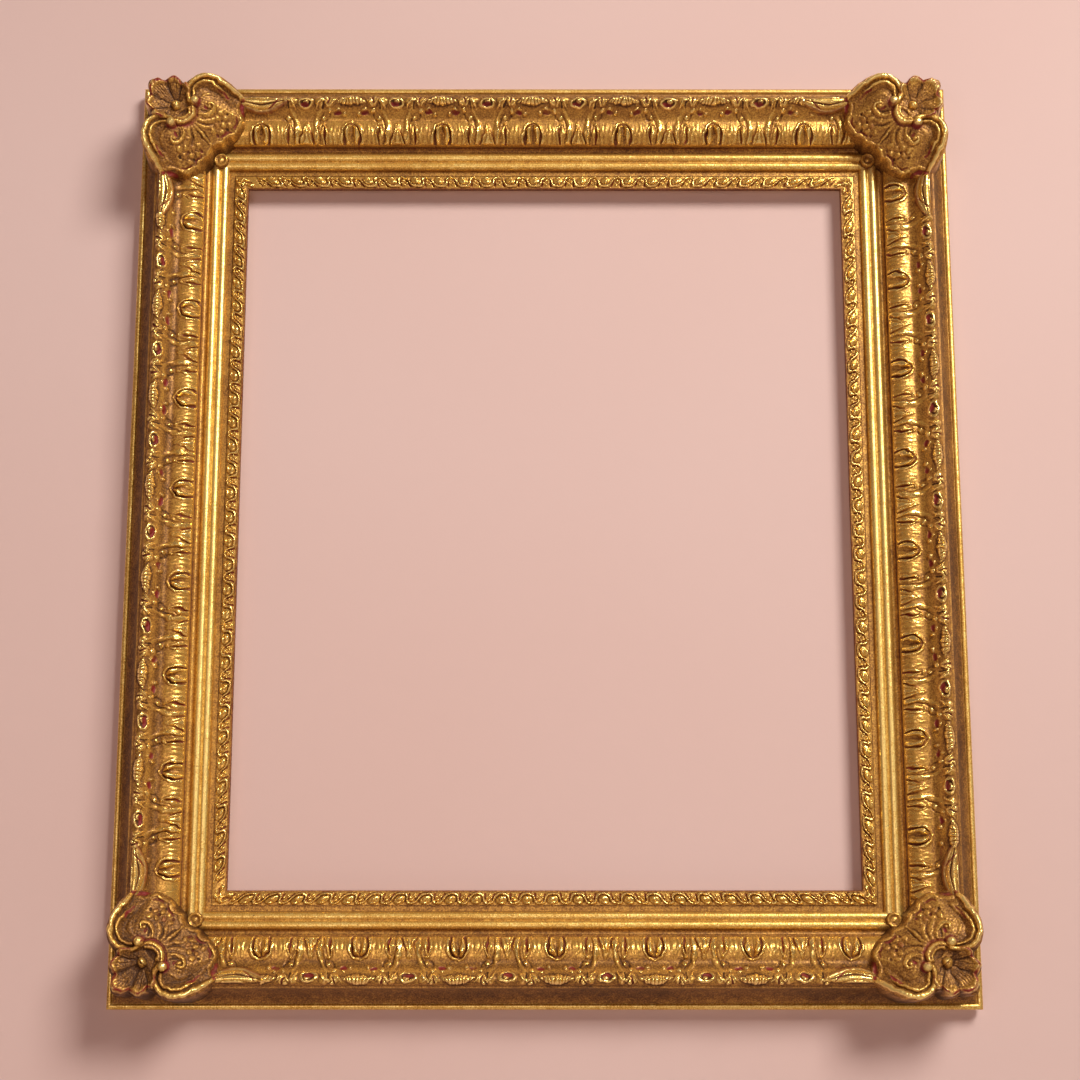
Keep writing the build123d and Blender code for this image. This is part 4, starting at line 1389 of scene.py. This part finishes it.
# The palmette's rim, as its distance from the bead, and its lobes, by the turn from the diagonal
RIM_TURNS = (0.0, 12.0, 20.0, 30.0, 41.0, 52.0, 60.0, 70.0, 80.0, 95.0)
RIM_REACHES = (32.0, 30.0, 26.0, 26.0, 27.5, 25.0, 21.5, 23.0, 21.0, 16.0)
LOBE_TURNS = (0.0, 11.0, 22.0, 31.0, 41.0, 51.0, 60.0, 67.0, 75.0, 88.0, 100.0)
LOBE_SHARES = (1.0, 0.8, 0.0, 0.75, 1.0, 0.75, 0.0, 0.7, 0.9, 0.3, 0.0)

# Toning of each cartouche, with painted shade that makes them darker towards the lower left; the lower left
# one is the darkest.
CARTOUCHE_TONING_AND_SHADE = {
    Corner.BOTTOM_LEFT: 0.76,
    Corner.TOP_LEFT: 0.64,
    Corner.TOP_RIGHT: 0.50,
    Corner.BOTTOM_RIGHT: 0.60,
}

CARTOUCHE_FORMS: tuple[Form, ...] = (
    # Joint at the scroll's end, red drips and the leaf that runs out of it
    Stroke(((82.6, 24.4), (87.6, 26.6), (91.6, 30.4)), (0.9, 1.5, 0.9), (-0.8, -1.4, -0.6), red=1.0),
    Stroke(
        ((105.4, 28.0), (103.6, 34.0), (104.4, 41.0)), (1.5, 2.2, 1.5), (-1.2, -2.0, -1.2), red=1.1,
        dark=0.2,
    ),
    Stroke(((101.4, 29.6), (99.6, 36.0), (100.4, 43.4)), (1.2, 1.6, 1.2), (0.8, 1.5, 0.9)),
    Stroke(((88.0, 31.0), (93.0, 33.6), (97.8, 38.4)), (1.3, 2.2, 1.2), (0.5, 1.2, 0.5)),
    Stroke(((66.0, 33.6), (70.4, 29.8), (77.0, 28.6), (83.6, 31.8)), (1.2, 2.0, 1.2), (0.4, 0.9, 0.4)),
    # Curl on the field with a red eye
    Stroke(
        ((64.0, 49.0), (70.0, 50.0), (76.0, 47.0), (79.0, 42.0), (77.0, 38.0), (73.6, 38.6)),
        (1.2, 2.0, 1.8, 1.2), (0.9, 2.0, 2.4, 1.9),
    ),
    Dome((74.6, 41.4), (2.0, 1.8), 1.9),
    Dome((70.8, 42.6), (2.6, 1.5), -1.0, turn=40.0, red=0.9, dark=0.2),
    Stroke(((66.0, 45.4), (71.0, 46.0), (74.6, 43.6)), (0.8, 1.1, 0.6), (-0.8, -1.2, -0.6), dark=0.4),
    # Rocaille bumps and nuts between the curl and the inner rim
    Dome((84.4, 45.6), (3.0, 2.6), 2.0, turn=20.0),
    Dome((82.0, 51.4), (2.6, 2.4), 1.7),
    Dome((88.4, 50.0), (2.4, 2.2), 1.6, red=0.2),
    Dome((86.8, 56.0), (2.6, 2.4), 2.0),
    Dome((92.6, 54.6), (2.4, 2.8), 1.6),
    Dome((80.6, 57.6), (2.4, 2.2), 1.5, red=0.4),
    Dome((84.6, 61.6), (2.6, 2.2), 1.9),
    Dome((77.4, 63.4), (2.4, 2.4), 1.5),
    Dome((90.2, 45.4), (1.6, 1.5), -1.3, dark=0.5),
    Dome((85.0, 52.8), (1.5, 1.4), -1.3, red=0.4, dark=0.4),
    Dome((89.8, 58.6), (1.6, 1.4), -1.3, dark=0.5),
    Dome((81.0, 65.4), (1.6, 1.5), -1.3, red=0.5, dark=0.3),
    # Soft veins from the crescent towards the inner rim
    Stroke(((62.0, 54.0), (69.0, 55.0), (76.0, 53.4), (84.0, 48.6)), (1.1, 1.9, 1.2), (0.4, 1.2, 0.4)),
    Stroke(((61.0, 57.6), (67.6, 60.4), (74.0, 60.6), (80.0, 62.0)), (1.1, 1.9, 1.2), (0.4, 1.3, 0.4)),
    Stroke(((64.0, 56.4), (71.0, 57.8), (78.0, 56.4)), (0.8, 1.1, 0.6), (-0.5, -1.0, -0.4), dark=0.3),
    Stroke(((64.6, 61.6), (69.6, 66.4), (73.6, 72.4)), (0.8, 1.2, 0.8), (-0.5, -1.1, -0.6), dark=0.3),
    Stroke(((60.8, 60.8), (67.0, 67.0), (74.0, 74.0)), (1.4, 2.2, 1.6), (0.6, 1.5, 1.2), mirrored=False),
    # Frilled inner rim
    Stroke(((102.0, 44.6), (103.0, 49.6), (100.2, 54.4), (97.6, 58.4)), (1.3, 2.0, 1.3), (1.0, 2.0, 1.0)),
    Stroke(((97.6, 58.4), (95.2, 61.8), (90.6, 63.0), (87.2, 66.0)), (1.2, 1.9, 1.2), (1.0, 2.0, 1.0)),
    Stroke(((87.2, 66.0), (85.4, 69.8), (80.8, 71.4), (77.0, 73.6)), (1.2, 1.8, 1.3), (1.0, 1.9, 1.1)),
    Stroke(
        ((98.6, 46.6), (99.0, 51.0), (96.2, 55.6)), (0.9, 1.3, 0.9), (-0.7, -1.3, -0.7), red=0.6,
        dark=0.2,
    ),
    Stroke(
        ((93.4, 59.6), (88.8, 61.0), (84.4, 65.4)), (0.8, 1.2, 0.8), (-0.6, -1.1, -0.6), red=0.7,
        dark=0.2,
    ),
    # Bead in the middle of the palmette
    Dome((42.0, 42.0), (4.9, 4.9), 7.2, mirrored=False),
    Dome((42.2, 42.2), (1.5, 1.5), -1.0, dark=0.3, mirrored=False),
)


@dataclass
class Cartouche:
    """Carved ornament that covers one corner."""

    corner: Corner
    finishes: Finishes
    spacing: float = 0.55
    start: float = 6.0
    reach: float = 112.0
    sway: float = 0.8
    table: float = 66.0
    bead: float = 42.6
    shell: float = 62.8
    shell_dish: float = 6.0
    lobe_rise: float = 4.6
    wall_width: float = 3.4
    foot: float = 8.5
    seat: float = 9.0
    crescent: float = 47.5
    crescent_radius: float = 10.2
    shell_lip: float = 1.5
    vein_rise: float = 0.5
    shell_toning: float = 0.16
    valley_shade: float = 0.45
    crescent_rise: float = 5.4
    channel_depth: float = 2.2
    well_depth: float = 2.0
    crease_shade: float = 0.25
    tone_limit: float = 2.2
    ball_place: Point = (61.0, 38.6)
    ball_level: float = 70.2
    ball_radius: float = 4.4

    def outline(self) -> Array:
        """Closed outline, both halves."""
        half = curve_points(CARTOUCHE_HALF, 5)
        return np.vstack((half, half[-2:0:-1, ::-1]))

    def inset(self, u: Array, v: Array) -> Array:
        """Distance from the outline, above zero inside it."""
        outline = self.outline()
        outline = np.vstack((outline, outline[:1]))
        inside = np.zeros(u.shape, dtype=bool)
        for start, end in zip(outline[:-1], outline[1:]):
            crosses = (start[1] > v) != (end[1] > v)
            slope = (end[0] - start[0]) / ((end[1] - start[1]) or TINY)
            inside ^= crosses & (u < (v - start[1]) * slope + start[0])
        gap, _ = nearest_on(outline, u, v)
        return np.where(inside, gap, -gap)

    def base(self, u: Array, v: Array) -> Array:
        """Uncarved surface: a table that falls towards the rails and the mitre's neck."""
        far = np.maximum(u, v)
        middle = (u + v) / 2
        end_fall = 0.72 * np.logaddexp(0.0, (far - 72.0) / 4.0) * 4.0
        neck_fall = 1.12 * np.logaddexp(0.0, (middle - 55.0) / 3.0) * 3.0
        return self.table - np.maximum(end_fall, neck_fall)

    def raise_band(
        self, relief: Relief, height: Array, path: Sequence, radius: float, rim: float, skirt: float
    ) -> Array:
        """Lays a round ridge along a path in space, both halves, with a hollow skirt at its foot.

        Args:
            relief: Relief that takes the painted shade in the crease along the ridge's foot.
            height: Height so far.
            path: Points with their levels.
            radius: Half width of the ridge.
            rim: Drop from its top to its edges.
            skirt: Depth of the hollow at its foot.

        Returns:
            The new height.
        """
        line = curve_points(path, 6)
        for flat in (line[:, :2], line[:, 1::-1]):
            gap, place = nearest_on(flat, relief.u, relief.v)
            level = np.interp(place, np.arange(len(line)), line[:, 2])
            top = level - rim * (1.0 - mound(gap / radius))
            away = np.maximum(gap - radius, 0.0)
            sunk = level - rim - skirt * (1.0 - np.exp(-away / 3.0)) - 0.72 * away
            height = np.maximum(height, np.where(gap < radius, top, sunk))
            # Painted shade in the crease along the ridge's foot.
            crease = (gap > radius * 0.94) & (gap < radius * 1.3)
            relief.darken(np.where(crease, self.crease_shade, 0.0))
        return height

    def palmette(self, relief: Relief, height: Array) -> Array:
        """Raises the lobed shell about the bead, with bole at its rim, toning all over and painted shade in
        the valleys between its lobes; gives the new height.
        """
        du, dv = relief.u - self.bead, relief.v - self.bead
        reach = np.hypot(du, dv)
        turn = np.abs(np.degrees(np.arctan2(du - dv, -du - dv)))
        rim = np.interp(turn, RIM_TURNS, RIM_REACHES)
        lobe = np.interp(turn, LOBE_TURNS, LOBE_SHARES)
        share = reach / rim
        inside = (1.0 - smoothstep(88.0, 100.0, turn)) * (1.0 - smoothstep(1.04, 1.16, share))
        dish = self.shell_dish * np.clip(share, 0.0, 1.0) ** 1.5
        shell = self.shell + dish + self.lobe_rise * np.sqrt(lobe) * share
        lip = self.shell_lip * bell(share, 0.94, 0.07)
        veins = self.vein_rise * waves(turn + 9.0 * share, 41, (13.0, 8.3, 5.9))
        veins = veins * smoothstep(0.15, 0.6, share)
        valley = (1.0 - smoothstep(0.0, 0.7, lobe)) * smoothstep(0.25, 0.5, share)
        relief.redden(1.1 * inside * bell(share, 1.0, 0.05))
        # Toning over the shell, and painted shade in the valleys between its lobes.
        relief.darken(inside * (self.shell_toning + self.valley_shade * valley))
        return height + inside * (shell + lip + veins - height)

    def raise_crescent(self, relief: Relief, height: Array) -> Array:
        """Raises the gouged crescent on the bead's inner side, with bole outside it and painted shade in its
        well and its channel; gives the new height.
        """
        du, dv = relief.u - self.crescent, relief.v - self.crescent
        reach = np.hypot(du, dv)
        turn = np.abs(np.degrees(np.arctan2(du - dv, du + dv)))
        end = 1.0 - smoothstep(62.0, 88.0, turn)
        width = 1.6 + 2.3 * end
        gap = (reach - self.crescent_radius) / width
        body = mound(gap, 0.6)
        channel = bell(gap, -0.1, 0.38)
        outer = bell(gap, 1.25, 0.3) * end
        well = bell(reach, 0.0, 6.5) * end
        relief.redden(0.9 * outer)
        # Painted shade in the well and down the channel.
        relief.darken(0.3 * well + 0.3 * channel * body * end)
        rise = (self.crescent_rise * body - self.channel_depth * channel) * end
        return height + rise - 1.2 * outer - self.well_depth * well

    def raise_balls(self, relief: Relief, height: Array, u: Array, v: Array) -> Array:
        """Sets a ball on each scroll's end, with bole at its outer foot; gives the new height."""
        outer_side = smoothstep(58.0, 64.0, np.maximum(u, v))
        for x, y in (self.ball_place, self.ball_place[::-1]):
            gap = np.hypot(u - x, v - y)
            ball = self.ball_level + self.ball_radius * mound(gap / self.ball_radius)
            height = np.where(gap < self.ball_radius, np.maximum(height, ball), height)
            relief.redden(bell(gap, 4.6, 1.2) * outer_side)
        return height

    def rocaille(self, u: Array, v: Array) -> Array:
        """Small irregular bumps all over the carving."""
        fine = waves(u + 0.6 * v, 23, (4.9, 3.7, 6.7)) * waves(v - 0.6 * u, 29, (5.3, 4.1, 7.1))
        lengths = (9.0, 6.1, 4.3)
        broad = waves(u * 1.4 + v * 0.5, 11, lengths) * waves(v * 1.4 + u * 0.5, 11, lengths)
        return 0.5 * fine + 0.5 * broad

    def build(self) -> bpy.types.Object:
        """Builds the cartouche.

        Returns:
            The cartouche's object.
        """
        count = int(self.reach / self.spacing) + 1
        line = np.linspace(self.start, self.reach, count)
        u, v = np.meshgrid(line, line, indexing="ij")
        inset = self.inset(u, v)
        relief = Relief(*swayed(u, v, 500 + self.corner.value, self.sway), slack=4.0)
        relief.carve(CARTOUCHE_FORMS, (0.0, 0.0), mirrored_diagonal)
        height = self.palmette(relief, self.base(u, v))
        height = self.raise_band(relief, height, SCROLL_PATH, 2.2, 2.8, 4.0)
        height = self.raise_band(relief, height, INNER_RIDGE_PATH, 1.4, 1.7, 2.6)
        height = self.raise_crescent(relief, height)
        height = self.raise_balls(relief, height, u, v)
        height = height + relief.rise + self.rocaille(u, v)
        # The tone lightens crests and darkens hollows in the gilding: painted highlight and painted shade.
        tone = 0.7 * (height - blurred(height, 2)) + 0.28 * (height - blurred(height, 14))
        # The wall that falls outside the outline gets painted shade.
        outside = 1.0 - smoothstep(-2.5, 0.2, inset)
        dirt = CARTOUCHE_TONING_AND_SHADE[self.corner] + relief.dark * 0.5 + 0.5 * outside
        values = {
            "dirt": np.clip(dirt, 0.0, 1.0),
            "red": relief.red * smoothstep(-1.0, 0.5, inset),
            "tone": np.clip(tone, -self.tone_limit, self.tone_limit),
        }
        height = self.foot + (height - self.foot) * smoothstep(-self.wall_width, 1.2, inset)
        surface = Surface(corner_points(self.corner, u, v, height), values)
        seat = (-SIZE.back - self.seat) * METRES
        name = f"corner_cartouche_{self.corner.label}"
        obj = plate(f"{name}_gilded", surface, inset > -self.wall_width, seat, 75.0)
        return dressed(obj, name, "gilded_carving", self.finishes.ornament)


@dataclass
class Rosette:
    """Ring boss on the mitre, beside the cartouche's neck."""

    corner: Corner
    finishes: Finishes
    centre: float = 80.8
    radius: float = 7.4
    hub: float = 0.05
    foot: float = 9.0
    ring_foot: float = 4.0
    scallops: int = 9
    scallop_share: float = 0.03
    around: int = 72
    weld: float = 2e-5

    def profile(self) -> list[tuple[float, float, float]]:
        """Radius, height and toning from the middle outwards; the toning holds painted shade, darker in the
        sunken ring and down the side.
        """
        return [
            (self.hub, 23.0, 0.2), (1.2, 22.8, 0.3), (2.2, 22.3, 0.5), (3.0, 22.0, 0.7), (3.8, 22.2, 0.6),
            (4.6, 22.9, 0.45), (5.4, 23.6, 0.38), (6.2, 23.5, 0.4), (6.9, 22.6, 0.55), (7.3, 21.2, 0.75),
            (self.radius, 18.0, 0.9), (self.radius, self.foot, 0.9), (self.hub, self.foot, 0.9),
        ]

    def build(self) -> bpy.types.Object:
        """Builds the rosette.

        Returns:
            The rosette's object.
        """
        radius, height, dirt = (np.array(column) for column in zip(*self.profile()))
        angle = np.linspace(0.0, math.tau, self.around + 1)[:, None]
        scallop = 1.0 + self.scallop_share * np.cos(angle * self.scallops) * (radius > self.ring_foot)
        u = self.centre + np.cos(angle) * radius * scallop
        v = self.centre + np.sin(angle) * radius * scallop
        points = corner_points(self.corner, u, v, np.broadcast_to(height, u.shape))
        values = {
            "dirt": np.broadcast_to(dirt, u.shape),
            "red": np.broadcast_to(np.where(dirt > 0.8, 0.4, 0.0), u.shape),
            "tone": np.zeros_like(u),
        }
        name = f"mitre_rosette_{self.corner.label}"
        obj = tube(f"{name}_gilded", Surface(points, values), 60.0, self.weld)
        return dressed(obj, name, "gilded_carving", self.finishes.carving)


# Hardware, shown as it was built

HARDWARE = (
    ("v_nails", "nails", "nail_steel"),
    ("wall_bumper", "rubber", "bumper_rubber"),
    ("hanger_strap", "hanger", "hanger_steel"),
    ("hanger_ring", "hanger", "hanger_steel"),
    ("hanger_screws", "brass", "screw_brass"),
    ("turn_button_screws", "brass", "screw_brass"),
    ("turn_button", "button", "button_steel"),
)


def dress_hardware(nodes: dict[str, bpy.types.Object], finishes: Finishes) -> None:
    """Gives each piece of hardware its finish."""
    for name, obj in nodes.items():
        for start, finish, slot in HARDWARE:
            if name.startswith(start):
                obj.data.materials.clear()
                obj.data.materials.append(getattr(finishes, finish))
                break


# Room, light and camera


@dataclass
class Room:
    """Wall behind the frame and the floor below it, in metres, with patterns in millimetres."""

    wall_colour: str = "DDC3BE"
    wall_cloud: str = "DABCB5"
    floor_colour: str = "D8CFC6"
    floor_cloud: str = "CFC5BB"
    cloud_size: float = 833.0
    tooth_size: float = 1.43
    floor_cloud_size: float = 333.0
    floor_height: float = -1.45
    top: float = 2.2
    near: float = -3.2
    wall_place: float = 0.0006
    half_width: float = 2.6
    see_through: float = 0.014

    def wall_material(self) -> bpy.types.Material:
        """Painted wall, which a camera behind it and the frame's own back see through."""
        g = Graph("painted_wall")
        place = g.place()
        uneven = g.noise(place, self.cloud_size)
        tooth = g.noise(place, self.tooth_size, 2.0, 0.6)
        colour = g.mix(g.span(uneven, 0.3, 0.7), linear(self.wall_colour), linear(self.wall_cloud))
        g.surface(Base_Color=colour, Roughness=0.85, Normal=g.bump(tooth, 0.12, 0.0004))
        behind = g.node("ShaderNodeNewGeometry").outputs["Backfacing"]
        near = g.math("LESS_THAN", g.node("ShaderNodeLightPath").outputs["Ray Length"], self.see_through)
        clear = g.node("ShaderNodeBsdfTransparent")
        mixed = g.node("ShaderNodeMixShader", {0: g.math("MAXIMUM", behind, near)})
        g.feed(mixed.inputs[1], g.shader.outputs[0])
        g.feed(mixed.inputs[2], clear.outputs[0])
        g.feed(g.output.inputs["Surface"], mixed.outputs[0])
        return g.material

    def build(self) -> None:
        """Builds the wall and the floor."""
        wide, low, high = self.half_width, self.floor_height, self.top
        near, wall = self.near, self.wall_place
        corners = {
            "wall": [(-wide, wall, low), (wide, wall, low), (wide, wall, high), (-wide, wall, high)],
            "floor": [(-wide, near, low), (wide, near, low), (wide, wall, low), (-wide, wall, low)],
        }
        g = Graph("plain_floor")
        worn = g.noise(g.place(), self.floor_cloud_size)
        colour = g.mix(worn, linear(self.floor_colour), linear(self.floor_cloud))
        floor_material = g.surface(Base_Color=colour, Roughness=0.8)
        for name, places in corners.items():
            mesh = bpy.data.meshes.new(name)
            bm = bmesh.new()
            bm.faces.new([bm.verts.new(place) for place in places])
            bm.to_mesh(mesh)
            bm.free()
            mesh.materials.append(self.wall_material() if name == "wall" else floor_material)
            linked(name, mesh)


@dataclass(frozen=True)
class Lamp:
    """A soft rectangular lamp that looks at a point.

    Attributes:
        name: Name of the lamp.
        place: Where it stands, in metres.
        target: Point that it looks at.
        size: Its width and height.
        power: Its power in watts.
        spread: Full angle of its beam in degrees.
        colour: Its colour.
    """

    name: str
    place: tuple[float, float, float]
    target: tuple[float, float, float]
    size: tuple[float, float]
    power: float
    spread: float = 180.0
    colour: str = "FFFFFF"

    def build(self) -> None:
        """Adds the lamp."""
        data = bpy.data.lights.new(self.name, "AREA")
        data.shape = "RECTANGLE"
        data.size, data.size_y = self.size
        data.energy = self.power
        data.spread = math.radians(self.spread)
        data.color = linear(self.colour)[:3]
        obj = linked(self.name, data)
        obj.location = self.place
        obj.rotation_euler = (Vector(self.target) - Vector(self.place)).to_track_quat("-Z", "Y").to_euler()


LAMPS = (
    Lamp("key", (1.95, -3.1, 2.2), (0.0, 0.0, 0.02), (1.7, 1.5), 44.0, 90.0, "FFFAF2"),
    Lamp("fill", (-0.55, -3.2, -0.55), (0.0, 0.0, 0.0), (1.6, 0.9), 15.0, 180.0, "FFE8E0"),
    Lamp("back", (1.3, 3.0, 1.5), (0.0, 0.0, 0.0), (1.8, 1.8), 60.0, 180.0, "FFF8F2"),
)


WORLD_COLOUR = "F2C6BA"
WORLD_STRENGTH = 0.22
CAMERA_PLACE = (-0.0056, -1.929, -0.413)
CAMERA_TILT = 11.83
CAMERA_ROLL = -0.00066
CAMERA_LENS = 67.67
SENSOR_WIDTH = 36.0


def set_world() -> None:
    """Plain pale world."""
    world = bpy.data.worlds.new("room_light")
    bpy.context.scene.world = world
    world.use_nodes = True
    background = world.node_tree.nodes["Background"]
    background.inputs["Color"].default_value = linear(WORLD_COLOUR)
    background.inputs["Strength"].default_value = WORLD_STRENGTH


def add_camera() -> None:
    """Camera at the photo's place: low, looking up at the frame."""
    data = bpy.data.cameras.new("photo_camera")
    data.sensor_width = SENSOR_WIDTH
    data.lens = CAMERA_LENS
    camera = linked("photo_camera", data)
    camera.location = CAMERA_PLACE
    camera.rotation_euler = (math.radians(90.0 + CAMERA_TILT), 0.0, CAMERA_ROLL)
    bpy.context.scene.camera = camera


def main() -> None:
    """Builds the whole scene."""
    logging.basicConfig(level=logging.INFO, format="%(message)s")
    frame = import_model()
    finishes = Finishes()
    for side in Side:
        Rail(side, finishes).build()
        CarvedBand(side, finishes).build()
        SightStrip(side, finishes).build()
    for corner in Corner:
        Cartouche(corner, finishes).build()
        Rosette(corner, finishes).build()
    dress_hardware(frame["nodes"], finishes)
    Room().build()
    for lamp in LAMPS:
        lamp.build()
    set_world()
    add_camera()
    bpy.context.scene.view_settings.view_transform = "Standard"


if __name__ == "__main__":
    main()
